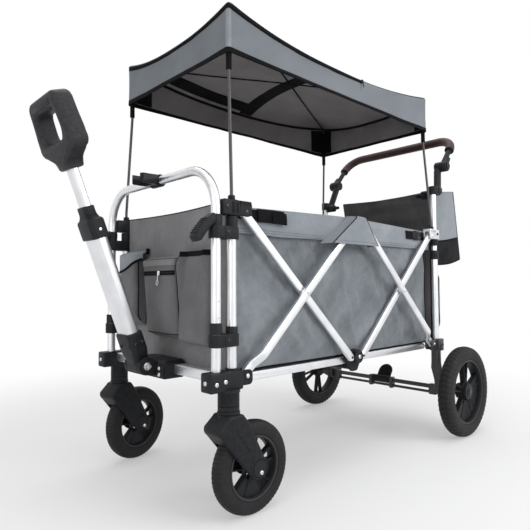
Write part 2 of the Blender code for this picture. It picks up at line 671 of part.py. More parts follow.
def pocket_section(y0, y1, deep, inset):
    """A pocket seen from above, inset by the fabric's thickness for its inside."""
    back = 0.0005 + 0.0015 - inset / 3
    front, round_off = 0.0005 - deep + inset, 0.014
    return [(back, y0 + inset), (back, y1 - inset), (front + round_off, y1 - inset), (front, y1 - inset - round_off),
            (front, y0 + inset + round_off), (front + round_off, y0 + inset)]


# Scissor arms

def arm_place(pin, towards, y, s):
    """Placing of an arm: its own X along the bar, its own Z outboard."""
    direction = (towards[0] - pin[0], 0, towards[1] - pin[1])
    return frame_matrix((pin[0], s * y, pin[1]), direction, (0, s, 0))


def arm_outlines(*along):
    """The bar's outline with holes at the given distances from its first pin."""
    return [stadium(ARM_LENGTH, ARM_WIDTH / 2)] + [circle((x, 0), PIN_R + FIT, 12) for x in along]


def inner_arm(name, pin, towards, s):
    """A straight arm in the post plane."""
    return plate(name, arm_outlines(0, ARM_LENGTH / 2, ARM_LENGTH), ARM_THICK,
                 arm_place(pin, towards, HALF_SPAN, s), ALUMINIUM)


def outer_arm(name, pin, towards, s):
    """An arm whose lower end is joggled inwards, so that it crosses outside the inner arm on its own pin."""
    place = arm_place(pin, towards, HALF_SPAN, s)
    bar = plate(name, arm_outlines(0, ARM_LENGTH), 0.08, place, ALUMINIUM)
    half = ARM_THICK / 2
    ease = [(JOGGLE_START + (JOGGLE_END - JOGGLE_START) * i / 4, ARM_LAYER * (1 - cos(pi * i / 4)) / 2)
            for i in range(5)]
    ends = [(-0.03, 0.0)] + ease + [(ARM_LENGTH + 0.03, ARM_LAYER)]
    outline = [(x, y - half) for x, y in ends] + [(x, y + half) for x, y in reversed(ends)]
    strip = plate(name + "_strip", [outline], 2 * ARM_WIDTH, place @ Matrix.Rotation(pi / 2, 4, "X"), ALUMINIUM)
    boolean(bar, strip, "INTERSECT")
    inner_face, outer_face = half + FIT, ARM_LAYER - half + 0.001
    for label, low, high, radius in (("spacer", inner_face, outer_face, 0.007), ("pin", -half - 0.001, outer_face, PIN_R)):
        join(bar, rod(name + "_" + label, place @ Vector((ARM_LENGTH / 2, 0, low)),
                      place @ Vector((ARM_LENGTH / 2, 0, high)), radius, ALUMINIUM))
    return bar


# Centre beam, links and floor

def centre_beam():
    """Tube across the wagon with the middle slat of the floor, and a hub at each end that holds two arms."""
    half = BRACKET_INNER_Y + 0.001
    beam_z = RAIL_Z - RAIL_HEIGHT / 2 - BEAM_R - FIT
    beam = rod("centre_beam", (MIDDLE_X, -half - 0.004, beam_z), (MIDDLE_X, half + 0.004, beam_z), BEAM_R, PLASTIC)
    slat_x, slat_y = BOARD_SHORT - SLAT_GAP, REAR_RAIL_Y - RAIL_THICK / 2 - 0.0015
    join(beam, block("centre_slat", (MIDDLE_X - slat_x, -slat_y, beam_z + BEAM_R - 0.002),
                     (MIDDLE_X + slat_x, slat_y, RAIL_Z + BOARD_THICK / 2 - SLAT_DROP), PLASTIC))
    for side, s in SIDES:
        plate_y = half + HUB_PLATE_THICK / 2
        reach = CENTRE_PIN_HALF
        lobes = (arc((reach, 0.001), 0.013, -60, 90, 4) + arc((0, 0.001), 0.018, 70, 110, 2)
                 + arc((-reach, 0.001), 0.013, 90, 240, 4) + [(-0.014, beam_z - LOWER_PIN_Z - 0.010),
                                                              (0.014, beam_z - LOWER_PIN_Z - 0.010)])
        hub = plate("centre_hub_" + side, [lobes], HUB_PLATE_THICK, side_view(s * plate_y, MIDDLE_X, LOWER_PIN_Z),
                    PLASTIC)
        face = half + HUB_PLATE_THICK
        arm_out = HALF_SPAN + ARM_THICK / 2
        boss = rod("centre_boss_" + side, (MIDDLE_X, s * (face - 0.002), LOWER_PIN_Z),
                   (MIDDLE_X, s * (arm_out + 0.0025), LOWER_PIN_Z), HUB_BOSS_R, PLASTIC)
        cap = rod("centre_cap_" + side, (MIDDLE_X, s * (arm_out + 0.0008), LOWER_PIN_Z),
                  (MIDDLE_X, s * (arm_out + 0.0008 + HUB_CAP_THICK), LOWER_PIN_Z), HUB_CAP_R, PLASTIC)
        join(beam, hub, boss, cap)
        for end in (-1, 1):
            x = MIDDLE_X + end * CENTRE_PIN_HALF
            join(beam, rod("centre_pin_" + side, (x, s * (face - 0.002), LOWER_PIN_Z),
                           (x, s * (arm_out + 0.0015), LOWER_PIN_Z), PIN_R, PLASTIC))
    return beam


def top_link(side, s):
    """Short link under the flap that joins the upper ends of the two outer arms."""
    name = "top_link_" + side
    outer_in = HALF_SPAN + ARM_LAYER - ARM_THICK / 2
    thick = 0.006
    start = MIDDLE_X - CENTRE_PIN_HALF
    link = plate(name, [stadium(2 * CENTRE_PIN_HALF, 0.011)], thick,
                 side_view(s * (outer_in - FIT - thick / 2), start, UPPER_PIN_Z), PLASTIC)
    for end in (-1, 1):
        x = MIDDLE_X + end * CENTRE_PIN_HALF
        join(link, rod(name + "_pin", (x, s * (outer_in - 0.002), UPPER_PIN_Z),
                       (x, s * (outer_in + ARM_THICK + 0.0015), UPPER_PIN_Z), PIN_R, PLASTIC))
    return link


def floor_panel(name, pivot_x, towards, rail_y, axis):
    """Half of the folding floor: a board between two rails that hinge at the corner brackets."""
    reach = MIDDLE_X - PIN_INSET - RAIL_END_GAP
    board_ends = sorted((pivot_x + towards * BOARD_START, MIDDLE_X - towards * BOARD_SHORT))
    half = rail_y - RAIL_THICK / 2 + 0.002
    board = block(name, (board_ends[0], -half, RAIL_Z - BOARD_THICK / 2),
                  (board_ends[1], half, RAIL_Z + BOARD_THICK / 2), BOARD, axis)
    outline = arc((0, 0), RAIL_HEIGHT / 2, 90, 270, 8) + [(reach, -RAIL_HEIGHT / 2), (reach, RAIL_HEIGHT / 2)]
    hole = circle((0, 0), PIN_R + FIT, 16)
    for s in (-1, 1):
        place = frame_matrix((pivot_x, s * rail_y, RAIL_Z), (towards, 0, 0), (0, -towards, 0))
        join(board, plate(name + "_rail", [outline, hole], RAIL_THICK, place, ALUMINIUM, axis))
    return board


# Rear frame

def rear_post(side, s):
    """Rear post: an aluminium tube with the lock collar of the upper tube at its top."""
    name = "rear_post_" + side
    y = s * HALF_SPAN
    x = POST_PITCH
    tube = rod(name, (x, y, BRACKET_LOW_Z + 0.005 + FIT), (x, y, LOCK_COLLAR_LOW_Z + 0.012), POST_R, ALUMINIUM)
    collar = rod(name + "_collar", (x, y, LOCK_COLLAR_LOW_Z),
                 (x, y, LOCK_COLLAR_LOW_Z + LOCK_COLLAR_HEIGHT), SLEEVE_R, PLASTIC)
    lever = side_block(name + "_lever", s, x + SLEEVE_R - 0.003, x + SLEEVE_R + 0.007, HALF_SPAN - 0.005,
                       HALF_SPAN + 0.005, LOCK_COLLAR_LOW_Z - 0.006, LOCK_COLLAR_LOW_Z + 0.020, PLASTIC, 0.002)
    bore = rod(name + "_bore", (x, y, UPPER_TUBE_FOOT_Z - 0.005), (x, y, TOP_BRACKET_LOW_Z),
               UPPER_TUBE_R + FIT, ALUMINIUM)
    join(tube, collar, lever)
    return cut(tube, bore)


def rear_axle_frame():
    """Brackets, legs, axle rod and lower rod of the rear end, welded into one frame."""
    frame = None
    holes = []
    for side, s in SIDES:
        body, hole = bottom_bracket("rear_bracket_" + side, s, POST_PITCH, -1, STEEL)
        holes.append(hole)
        leg_outline = ([(POST_PITCH - 0.0105, BRACKET_LOW_Z + 0.004), (POST_PITCH - 0.0115, 0.222),
                        (POST_PITCH - 0.014, 0.205), (REAR_AXLE_X - 0.026, 0.165)]
                       + arc((REAR_AXLE_X, REAR_WHEEL_R - 0.004), 0.020, 200, 350, 5)
                       + [(REAR_AXLE_X + 0.014, 0.165), (POST_PITCH + 0.016, 0.205), (POST_PITCH + 0.0115, 0.222),
                          (POST_PITCH + 0.0105, BRACKET_LOW_Z + 0.004)])
        leg = plate("rear_leg_" + side, [leg_outline], LEG_WIDTH, side_view(s * HALF_SPAN), STEEL)
        if frame is None:
            frame = body
            frame.name = "rear_axle_frame"
        else:
            join(frame, body)
        join(frame, leg)
    shoulder = REAR_TRACK / 2 - REAR_TYRE_WIDTH / 2 - 0.003
    end = REAR_TRACK / 2 + REAR_TYRE_WIDTH / 2 + 0.001
    axle = rod("rear_axle_rod", (REAR_AXLE_X, -shoulder, REAR_WHEEL_R), (REAR_AXLE_X, shoulder, REAR_WHEEL_R),
               AXLE_TUBE_R, STEEL)
    stub = rod("rear_axle_stub", (REAR_AXLE_X, -end, REAR_WHEEL_R), (REAR_AXLE_X, end, REAR_WHEEL_R),
               AXLE_PIN_R, STEEL)
    rod_z = REAR_WHEEL_R - LOWER_ROD_DROP
    lower = rod("rear_lower_rod", (REAR_AXLE_X, -HALF_SPAN, rod_z), (REAR_AXLE_X, HALF_SPAN, rod_z),
                LOWER_ROD_R, STEEL)
    join(frame, axle, stub, lower)
    for y in (-BRAKE_HALF - 0.0065, BRAKE_HALF + 0.0065):
        join(frame, block("rear_axle_clamp", (REAR_AXLE_X - 0.011, y - 0.006, rod_z - 0.008),
                          (REAR_AXLE_X + 0.011, y + 0.006, REAR_WHEEL_R + 0.011), STEEL))
    return cut(frame, *holes)


BRAKE_HALF = 0.035
BRAKE_LEAN = radians(35)


def brake_pedal():
    """Foot pedal that turns about the axle rod: a sleeve with a rounded paddle."""
    axis = new_axis("brake_axis", (REAR_AXLE_X, 0, REAR_WHEEL_R), parent=FRAME)
    sleeve = rod("brake_pedal", (REAR_AXLE_X, -BRAKE_HALF, REAR_WHEEL_R), (REAR_AXLE_X, BRAKE_HALF, REAR_WHEEL_R),
                 0.0125, PLASTIC, axis)
    outline = [(-0.026, 0), (0.026, 0)] + arc((0, 0.030), 0.026, 0, 180, 8)
    slope = Vector((sin(BRAKE_LEAN), 0, cos(BRAKE_LEAN)))
    normal = Vector((cos(BRAKE_LEAN), 0, -sin(BRAKE_LEAN)))
    start = Vector((REAR_AXLE_X, 0, REAR_WHEEL_R)) + slope * 0.004 + normal * 0.006
    paddle = plate("brake_paddle", [outline], 0.008, frame_matrix(start, (0, 1, 0), normal), PLASTIC, axis)
    round_edges(paddle, 0.002)
    bore = rod("brake_bore", (REAR_AXLE_X, -BRAKE_HALF - 0.01, REAR_WHEEL_R),
               (REAR_AXLE_X, BRAKE_HALF + 0.01, REAR_WHEEL_R), AXLE_TUBE_R + FIT, PLASTIC, axis)
    join(sleeve, paddle)
    return cut(sleeve, bore)


# Rear carriage

def rear_upper_tube(side, s):
    """Thin tube that slides in the rear post, with the silver bracket that holds an arm and a pole."""
    name = "rear_upper_tube_" + side
    y = s * HALF_SPAN
    tube = rod(name, (POST_PITCH, y, UPPER_TUBE_FOOT_Z), (POST_PITCH, y, UPPER_TUBE_TOP_Z - 0.004),
               UPPER_TUBE_R, ALUMINIUM)
    body = side_block(name + "_bracket", s, POST_PITCH - PIN_INSET - EAR_REACH, POST_PITCH + 0.0125,
                      HALF_SPAN - EAR_WIDTH / 2, HALF_SPAN + EAR_WIDTH / 2, TOP_BRACKET_LOW_Z,
                      TOP_BRACKET_TOP_Z, ALUMINIUM, 0.002)
    slot = arm_slot_below(name, s, POST_PITCH, -1)
    pin_x = POST_PITCH - PIN_INSET
    pin = rod(name + "_pin", (pin_x, s * (HALF_SPAN - EAR_WIDTH / 2 + 0.001), UPPER_PIN_Z),
              (pin_x, s * (HALF_SPAN + EAR_WIDTH / 2 + 0.0015), UPPER_PIN_Z), PIN_R, ALUMINIUM)
    pole_x = POST_PITCH - POLE_OFFSET
    socket = rod(name + "_socket", (pole_x, y, TOP_BRACKET_TOP_Z - 0.007), (pole_x, y, TOP_BRACKET_TOP_Z + 0.01),
                 POLE_R + FIT, ALUMINIUM)
    sleeve = rod(name + "_sleeve", (POST_PITCH, y, TOP_BRACKET_LOW_Z - 0.020),
                 (POST_PITCH, y, TOP_BRACKET_LOW_Z + 0.003), SLEEVE_R - 0.001, PLASTIC)
    cut(body, slot)
    join(body, pin, sleeve)
    join(tube, body)
    return cut(tube, socket)


def handle_arm(side, s):
    """Clamp on top of the upper tube, with the arm that carries the push handle's pivot."""
    name = "handle_arm_" + side
    y = s * HALF_SPAN
    low, high = UPPER_TUBE_TOP_Z - CLAMP_BLOCK_HEIGHT, UPPER_TUBE_TOP_Z
    clamp_outline = [(x, z) for x, z in stadium(0.020, 0.0145)]
    clamp = plate(name, [clamp_outline], CLAMP_BLOCK_HEIGHT, plan_view((low + high) / 2, POST_PITCH, y), PLASTIC)
    pivot_y = s * (HALF_SPAN - ARM_SHIFT)
    pivot = (HANDLE_PIVOT_X, pivot_y, HANDLE_PIVOT_Z)
    arm = rod(name + "_tube", (POST_PITCH + 0.020, y, low + 0.008), pivot, 0.0095, PLASTIC)
    inner = HANDLE_LEG_Y - PIVOT_DISC + FIT
    disc = rod(name + "_disc", (HANDLE_PIVOT_X, s * (HANDLE_LEG_Y - PIVOT_DISC), HANDLE_PIVOT_Z),
               (HANDLE_PIVOT_X, s * (HANDLE_LEG_Y - FIT), HANDLE_PIVOT_Z), PIVOT_R, PLASTIC, sides=20)
    trim = rod(name + "_trim", (HANDLE_PIVOT_X, s * (HANDLE_LEG_Y - FIT), HANDLE_PIVOT_Z),
               (HANDLE_PIVOT_X, s * (HANDLE_LEG_Y + 0.03), HANDLE_PIVOT_Z), PIVOT_R + 0.002, PLASTIC, sides=20)
    (bag_x, bag_z), (bag_foot_x, bag_foot_z) = BAG_PROFILE[:2]
    lean = atan2(bag_foot_x - bag_x, bag_z - bag_foot_z)
    knob_z = bag_z - KNOB_R
    knob_x = POST_PITCH + bag_x + KNOB_R * tan(lean) - (KNOB_R + FIT) / cos(lean)
    knob = rod(name + "_knob", (knob_x, s * (HALF_SPAN - 0.010), knob_z),
               (knob_x, s * (HALF_SPAN - KNOB_LENGTH), knob_z), KNOB_R, PLASTIC)
    bore = rod(name + "_bore", (POST_PITCH, y, low - 0.01), (POST_PITCH, y, high - 0.0037),
               UPPER_TUBE_R + FIT, PLASTIC)
    join(clamp, arm)
    cut(clamp, trim)
    join(clamp, disc, knob)
    return cut(clamp, bore)


def rear_wall():
    """Rear fabric wall with the storage pouch behind it, its zip open."""
    x = POST_PITCH - 0.0005 - FABRIC
    back = x + FABRIC + POUCH_DEEP
    wall = block("rear_wall", (x, -WALL_OUTER_Y + FIT, WALL_LOW_Z), (x + FABRIC, WALL_OUTER_Y - FIT, WALL_TOP_Z),
                 FABRIC_GREY)
    outline = ([(x + 0.001, WALL_LOW_Z + 0.002), (back - 0.012, WALL_LOW_Z + 0.006)]
               + arc((back - 0.020, WALL_LOW_Z + 0.030), 0.020, -60, 0, 2)
               + arc((back - 0.045, 0.455), 0.045, 0, 80, 4)
               + [(x + FABRIC + 0.010, 0.524), (x + 0.001, 0.532)])
    join(wall, plate("rear_pouch", [outline], 2 * POUCH_HALF_WIDTH, side_view(0), FABRIC_GREY))
    skin_x, skin_back = x + FABRIC, back - FABRIC
    inside = ([(skin_x, WALL_LOW_Z + 0.009), (skin_back - 0.014, WALL_LOW_Z + 0.009)]
              + arc((skin_back - 0.018, WALL_LOW_Z + 0.030), 0.018, -60, 0, 2)
              + arc((skin_back - 0.043, 0.452), 0.043, 0, 80, 4) + [(skin_x, 0.520)])
    cavity = plate("pouch_cavity", [inside], 2 * (POUCH_HALF_WIDTH - FABRIC), side_view(0), LINING)
    slit_x = skin_x + 0.030
    slit = block("pouch_slit", (slit_x, -POUCH_HALF_WIDTH + 0.020, 0.480),
                 (slit_x + POUCH_SLIT, POUCH_HALF_WIDTH - 0.020, 0.560), LINING)
    return cut(wall, cavity, slit)


def rear_bag():
    """Open-topped bag that hangs behind the posts from the handle clamps."""
    bm = bmesh.new()
    rows = []
    for y in (-BAG_HALF_WIDTH, BAG_HALF_WIDTH):
        rows.append([bm.verts.new((POST_PITCH + x, y, z)) for x, z in BAG_PROFILE])
    left, right = rows
    bm.faces.new(left)
    bm.faces.new(list(reversed(right)))
    for i in range(3):
        bm.faces.new((left[i + 1], left[i], right[i], right[i + 1]))
    bmesh.ops.recalc_face_normals(bm, faces=bm.faces)
    ob = mesh_object("rear_bag", bm, FABRIC_GREY)
    wall = ob.modifiers.new("fabric", "SOLIDIFY")
    wall.thickness = FABRIC
    wall.offset = -1
    wall.use_even_offset = True
    return ob


# Push handle

def handle_path(reach):
    """Half of the push bar's centre line, from one leg to the middle, in the upright bar's plane."""
    r = HANDLE_CORNER_R
    corner = arc((HANDLE_LEG_Y - r, HANDLE_REACH - r), r, 0, 90, 4)
    return [(HANDLE_LEG_Y, reach)] + corner


def mirrored_path(half, x, z):
    """A path in the plane X = x that mirrors a half path in Y."""
    return [(x, -y, z + h) for y, h in half] + [(x, y, z + h) for y, h in reversed(half)]


def push_bar(axis):
    """The bent bar with a pivot disc and a button recess at each leg."""
    x, z = HANDLE_PIVOT_X, HANDLE_PIVOT_Z
    bar = swept("push_bar", mirrored_path(handle_path(PIVOT_R - 0.004), x, z), HANDLE_TUBE_R, PLASTIC, axis, 10)
    for side, s in SIDES:
        inner, outer = HANDLE_LEG_Y + FIT, HANDLE_LEG_Y + PIVOT_DISC
        disc = rod("push_bar_disc", (x, s * inner, z), (x, s * outer, z), PIVOT_R, PLASTIC, axis, 20)
        clear = rod("push_bar_clear", (x, s * (inner - 0.03), z), (x, s * inner, z), PIVOT_R + 0.0015,
                    PLASTIC, axis, 20)
        recess = rod("push_bar_recess", (x, s * (outer - BUTTON_DEEP - BUTTON_TRAVEL), z),
                     (x, s * (outer + 0.01), z), BUTTON_R + FIT, PLASTIC, axis)
        cut(bar, clear)
        join(bar, disc)
        cut(bar, recess)
    return bar


def handle_grip(axis):
    """Leatherette sleeve round the upper part of the push bar."""
    x, z = HANDLE_PIVOT_X, HANDLE_PIVOT_Z
    grip = swept("handle_grip", mirrored_path(handle_path(GRIP_START - 0.004), x, z), HANDLE_GRIP_R,
                 LEATHERETTE, axis, 10)
    core = swept("handle_grip_core", mirrored_path(handle_path(GRIP_START - 0.02), x, z), HANDLE_TUBE_R + FIT,
                 LEATHERETTE, axis, 10)
    return cut(grip, core)


def pivot_button(side, s, axis):
    """Round push button in the pivot disc."""
    outer = HANDLE_LEG_Y + PIVOT_DISC
    return rod("pivot_button_" + side, (HANDLE_PIVOT_X, s * (outer - BUTTON_DEEP), HANDLE_PIVOT_Z),
               (HANDLE_PIVOT_X, s * (outer + BUTTON_PROUD), HANDLE_PIVOT_Z), BUTTON_R, PLASTIC, axis)


# Drawbar

def drawbar_z(height):
    """World height of a point of the upright drawbar."""
    return DRAWBAR_PIVOT_Z + height


def upright_tube(name, size, wall, low, high, radius, paint, axis):
    """A piece of rounded rectangular tube along the upright drawbar."""
    outlines = [rounded_rectangle(*size, radius)]
    if wall:
        outlines.append(rounded_rectangle(size[0] - 2 * wall, size[1] - 2 * wall, radius - wall))
    return plate(name, outlines, high - low, plan_view(drawbar_z((low + high) / 2), DRAWBAR_PIVOT_X), paint, axis)


def drawbar_yoke(axis):
    """Foot of the drawbar: a hub on the pivot pin that widens to the socket of the outer tube."""
    half = DRAWBAR_HUB_WIDTH / 2
    hub = rod("drawbar_yoke", (DRAWBAR_PIVOT_X, -half, DRAWBAR_PIVOT_Z), (DRAWBAR_PIVOT_X, half, DRAWBAR_PIVOT_Z),
              DRAWBAR_HUB_R, PLASTIC, axis, 20)
    socket = (OUTER_TUBE[0] + 2 * COLLAR_WALL, OUTER_TUBE[1] + 2 * COLLAR_WALL)
    foot = upright_tube("yoke_socket", socket, 0, 0.024, SOCKET_TOP, 0.012, PLASTIC, axis)
    neck = block("yoke_neck", (DRAWBAR_PIVOT_X - 0.015, -half, drawbar_z(0.004)),
                 (DRAWBAR_PIVOT_X + 0.015, half, drawbar_z(0.030)), PLASTIC, axis)
    inside = (OUTER_TUBE[0] + 2 * FIT, OUTER_TUBE[1] + 2 * FIT)
    hole = upright_tube("yoke_hole", inside, 0, OUTER_TUBE_FOOT - FIT, SOCKET_TOP + 0.01, 0.0103, PLASTIC, axis)
    bore = rod("yoke_bore", (DRAWBAR_PIVOT_X, -half - 0.01, DRAWBAR_PIVOT_Z),
               (DRAWBAR_PIVOT_X, half + 0.01, DRAWBAR_PIVOT_Z), DRAWBAR_PIN_R + FIT, PLASTIC, axis)
    join(hub, neck, foot)
    return cut(hub, hole, bore)


def drawbar_collar(axis):
    """Plastic collar on the outer tube's top, which guides the inner tube."""
    lower = (OUTER_TUBE[0] + 2 * COLLAR_WALL, OUTER_TUBE[1] + 2 * COLLAR_WALL)
    upper = (INNER_TUBE[0] + 2 * COLLAR_WALL, INNER_TUBE[1] + 2 * COLLAR_WALL)
    body = upright_tube("drawbar_collar", lower, 0, COLLAR_LOW, COLLAR_STEP, 0.012, PLASTIC, axis)
    nose = upright_tube("collar_nose", upper, 0, COLLAR_STEP - 0.004, COLLAR_TOP, 0.009, PLASTIC, axis)
    outer_hole = (OUTER_TUBE[0] + 2 * FIT, OUTER_TUBE[1] + 2 * FIT)
    inner_hole = (INNER_TUBE[0] + 2 * FIT, INNER_TUBE[1] + 2 * FIT)
    join(body, nose)
    return cut(body, upright_tube("collar_hole", outer_hole, 0, COLLAR_LOW - 0.01, OUTER_TUBE_TOP + FIT, 0.0103,
                                  PLASTIC, axis),
               upright_tube("collar_way", inner_hole, 0, COLLAR_LOW - 0.01, COLLAR_TOP + 0.01, 0.0063,
                            PLASTIC, axis))


def drawbar_inner_tube(axis):
    """Sliding inner tube with the plug that guides its foot."""
    top = GRIP_LOW + GRIP_SOCKET - FIT
    tube = upright_tube("drawbar_inner_tube", INNER_TUBE, 0, INNER_TUBE_FOOT, top, 0.006, ALUMINIUM, axis)
    inside = (OUTER_TUBE[0] - 2 * OUTER_TUBE_WALL - 2 * FIT, OUTER_TUBE[1] - 2 * OUTER_TUBE_WALL - 2 * FIT)
    plug = upright_tube("inner_tube_plug", inside, 0, INNER_TUBE_FOOT - 0.001, INNER_TUBE_FOOT + PLUG_THICK,
                        0.0075, PLASTIC, axis)
    return join(tube, plug)


def drawbar_grip(axis):
    """D-shaped hand grip with its finger opening."""
    shoulder_y, shoulder_z, shoulder_r = GRIP_SHOULDER
    crown_y, crown_z, crown_r = GRIP_CROWN
    waist = ((shoulder_y + shoulder_r + crown_y + crown_r) / 2, (shoulder_z + crown_z) / 2)
    half = ([(GRIP_NECK_HALF, 0.0), (GRIP_NECK_HALF + 0.006, 0.014), (GRIP_NECK_HALF + 0.024, 0.024)]
            + arc((shoulder_y, shoulder_z), shoulder_r, -60, 20, 4) + [waist]
            + arc((crown_y, crown_z), crown_r, 15, 90, 4))
    outline = half + [(-y, z) for y, z in reversed(half)]
    window = [(y, z + GRIP_WINDOW_Z) for y, z in rounded_rectangle(*GRIP_WINDOW)]
    place = frame_matrix((DRAWBAR_PIVOT_X, 0, drawbar_z(GRIP_LOW)), (0, 1, 0), (1, 0, 0))
    grip = plate("drawbar_grip", [outline, window], GRIP_THICK, place, PLASTIC, axis)
    round_edges(grip, GRIP_EDGE_R)
    inner_hole = (INNER_TUBE[0] + 2 * FIT, INNER_TUBE[1] + 2 * FIT)
    return cut(grip, upright_tube("grip_socket", inner_hole, 0, GRIP_LOW - 0.01, GRIP_LOW + GRIP_SOCKET, 0.0063,
                                  PLASTIC, axis))


# Wheels

def wheel_place(centre):
    """Placing of a wheel: its own Z lies along the axle."""
    return frame_matrix(centre, (1, 0, 0), (0, -1, 0))


def tyre(name, centre, radius, rim_radius, width, axis):
    """A rubber ring with a rounded tread and a flat bed on the rim."""
    deep = radius - rim_radius
    half = [(rim_radius + FIT, 0.40), (rim_radius + 0.45 * deep, 0.50), (radius - 0.12 * deep, 0.40),
            (radius, 0.15)]
    upper = [(r, share * width) for r, share in half]
    lower = [(r, -z) for r, z in reversed(upper)]
    return turned(name, upper + lower, wheel_place(centre), RUBBER, axis)


def spoke_window(angle, spread, width, inner, outer, count):
    """The opening between two spokes at angle and angle + spread degrees, each of the given width."""
    lean_in = degrees(asin(width / 2 / inner))
    lean_out = degrees(asin(width / 2 / outer))
    return (arc((0, 0), outer, angle + lean_out, angle + spread - lean_out, count)
            + arc((0, 0), inner, angle + spread - lean_in, angle + lean_in, 1))


def rim(name, centre, radius, width, hub_radius, spoke, pair, slit, axis):
    """A rim with five twin spokes, a hub with its bore and a bed for the tyre."""
    bed = [(radius, width / 2), (radius, -width / 2), (radius - RIM_DEPTH, -width / 2), (radius - RIM_DEPTH, width / 2)]
    ring = turned(name, bed, wheel_place(centre), PLASTIC, axis)
    reach = radius - 0.3 * RIM_DEPTH
    opening = radius - 0.7 * RIM_DEPTH
    windows = []
    for i in range(5):
        start = 90 + 72 * i
        windows.append(spoke_window(start + pair, 72 - 2 * pair, spoke, hub_radius + 0.006, opening, 3))
        windows.append(spoke_window(start - pair, 2 * pair, spoke, slit, opening, 1))
    spider = plate(name + "_spokes", [circle((0, 0), reach, WHEEL_FACETS)] + windows, width * 0.5, wheel_place(centre),
                   PLASTIC, axis)
    hub_half = width / 2 + 0.002
    hub = rod(name + "_hub", centre + Vector((0, -hub_half, 0)), centre + Vector((0, hub_half, 0)), hub_radius,
              PLASTIC, axis)
    bore = rod(name + "_bore", centre + Vector((0, -0.05, 0)), centre + Vector((0, 0.05, 0)), AXLE_PIN_R + FIT,
               PLASTIC, axis)
    join(ring, spider, hub)
    return cut(ring, bore)


def caster_fork(side, y, axis):
    """Swivelling fork: neck with its stem, two legs with hub covers, and the wheel's axle pin."""
    name = "caster_fork_" + side
    cap = (CASTER_X + CASTER_TRAIL, FRONT_WHEEL_R + 0.003)
    x = CASTER_X
    outline = ([(x - 0.0225, CASTER_NECK_Z - 0.006), (x - 0.034, 0.200), (x - 0.043, 0.183), (x - 0.040, 0.167)]
               + arc(cap, 0.024, 215, 400, 7) + [(x + 0.034, 0.172), (x + 0.0225, CASTER_NECK_Z - 0.006)])
    thick = FORK_GAP + 2 * FORK_LEG
    fork = plate(name, [outline], thick, side_view(y), PLASTIC, axis)
    round_edges(fork, 0.004)
    neck = rod(name + "_neck", (x, y, 0.196), (x, y, CASTER_NECK_Z), CASTER_HOUSING_R + 0.0012, PLASTIC, axis, 20)
    stem = rod(name + "_stem", (x, y, 0.200), (x, y, CASTER_NECK_Z + 0.030), CASTER_STEM_R, STEEL, axis)
    well = rod(name + "_well", (x + CASTER_TRAIL, y - FORK_GAP / 2, FRONT_WHEEL_R),
               (x + CASTER_TRAIL, y + FORK_GAP / 2, FRONT_WHEEL_R), FRONT_WHEEL_R + 0.006, PLASTIC, axis, 32)
    pin = rod(name + "_pin", (x + CASTER_TRAIL, y - thick / 2 + 0.002, FRONT_WHEEL_R),
              (x + CASTER_TRAIL, y + thick / 2 - 0.002, FRONT_WHEEL_R), AXLE_PIN_R, STEEL, axis)
    join(fork, neck)
    cut(fork, well)
    return join(fork, stem, pin)


# Fabric

def side_wall(side, s):
    """Fabric side with its thicker top band and the flap that covers the upper scissor joint."""
    name = "side_wall_" + side
    x0, x1 = 0.0005 + FABRIC + FIT, POST_PITCH - 0.0005 - FABRIC - FIT
    steps = 8
    top = [(x1 + (x0 - x1) * i / steps, WALL_TOP_Z + WALL_RISE * (1 - abs(2 * i / steps - 1))) for i in range(steps + 1)]
    wall = plate(name, [[(x0, WALL_LOW_Z), (x1, WALL_LOW_Z)] + top], FABRIC, side_view(s * (WALL_OUTER_Y - FABRIC / 2)),
                 FABRIC_GREY)
    apex = WALL_TOP_Z + WALL_RISE
    flap_outline = [(MIDDLE_X - FLAP_HALF, BAND_LOW_Z), (MIDDLE_X + FLAP_HALF, BAND_LOW_Z),
                    (MIDDLE_X + FLAP_TOP_HALF, apex), (MIDDLE_X - FLAP_TOP_HALF, apex)]
    flap = plate(name + "_flap", [flap_outline], FABRIC, side_view(s * (FLAP_Y + FABRIC / 2)), FABRIC_GREY)
    top_half = FLAP_TOP_HALF + 0.008
    lid = side_block(name + "_lid", s, MIDDLE_X - top_half, MIDDLE_X + top_half, WALL_OUTER_Y - FABRIC,
                     FLAP_Y + FABRIC * 0.8, apex - 0.008, apex - 0.003, FABRIC_GREY)
    return join(wall, flap, lid)


def canopy_cover():
    """Tensioned canopy: four-sided roof that sags between its raised corners, with a deep valance."""
    bm = bmesh.new()
    bmesh.ops.create_grid(bm, x_segments=10, y_segments=8, size=1)
    half_long = (CANOPY_REAR - CANOPY_FRONT) / 2
    middle = (CANOPY_REAR + CANOPY_FRONT) / 2
    for v in bm.verts:
        a, b = v.co.x ** 2, v.co.y ** 2
        sag = CANOPY_SAG_LONG * max(0, b - a) + CANOPY_SAG_SHORT * max(0, a - b)
        v.co = (middle + v.co.x * half_long, v.co.y * CANOPY_WIDTH / 2, CANOPY_CORNER_Z - sag)
    rim_edges = [e for e in bm.edges if e.is_boundary]
    skirt = bmesh.ops.extrude_edge_only(bm, edges=rim_edges)
    for v in (g for g in skirt["geom"] if isinstance(g, bmesh.types.BMVert)):
        v.co.z = CANOPY_LOW_Z
    bmesh.ops.recalc_face_normals(bm, faces=bm.faces)
    ob = mesh_object("canopy_cover", bm, FABRIC_GREY)
    cloth = ob.modifiers.new("cloth", "SOLIDIFY")
    cloth.thickness = CANOPY_WALL
    cloth.offset = -1
    cloth.use_even_offset = True
    return ob


# Assembly

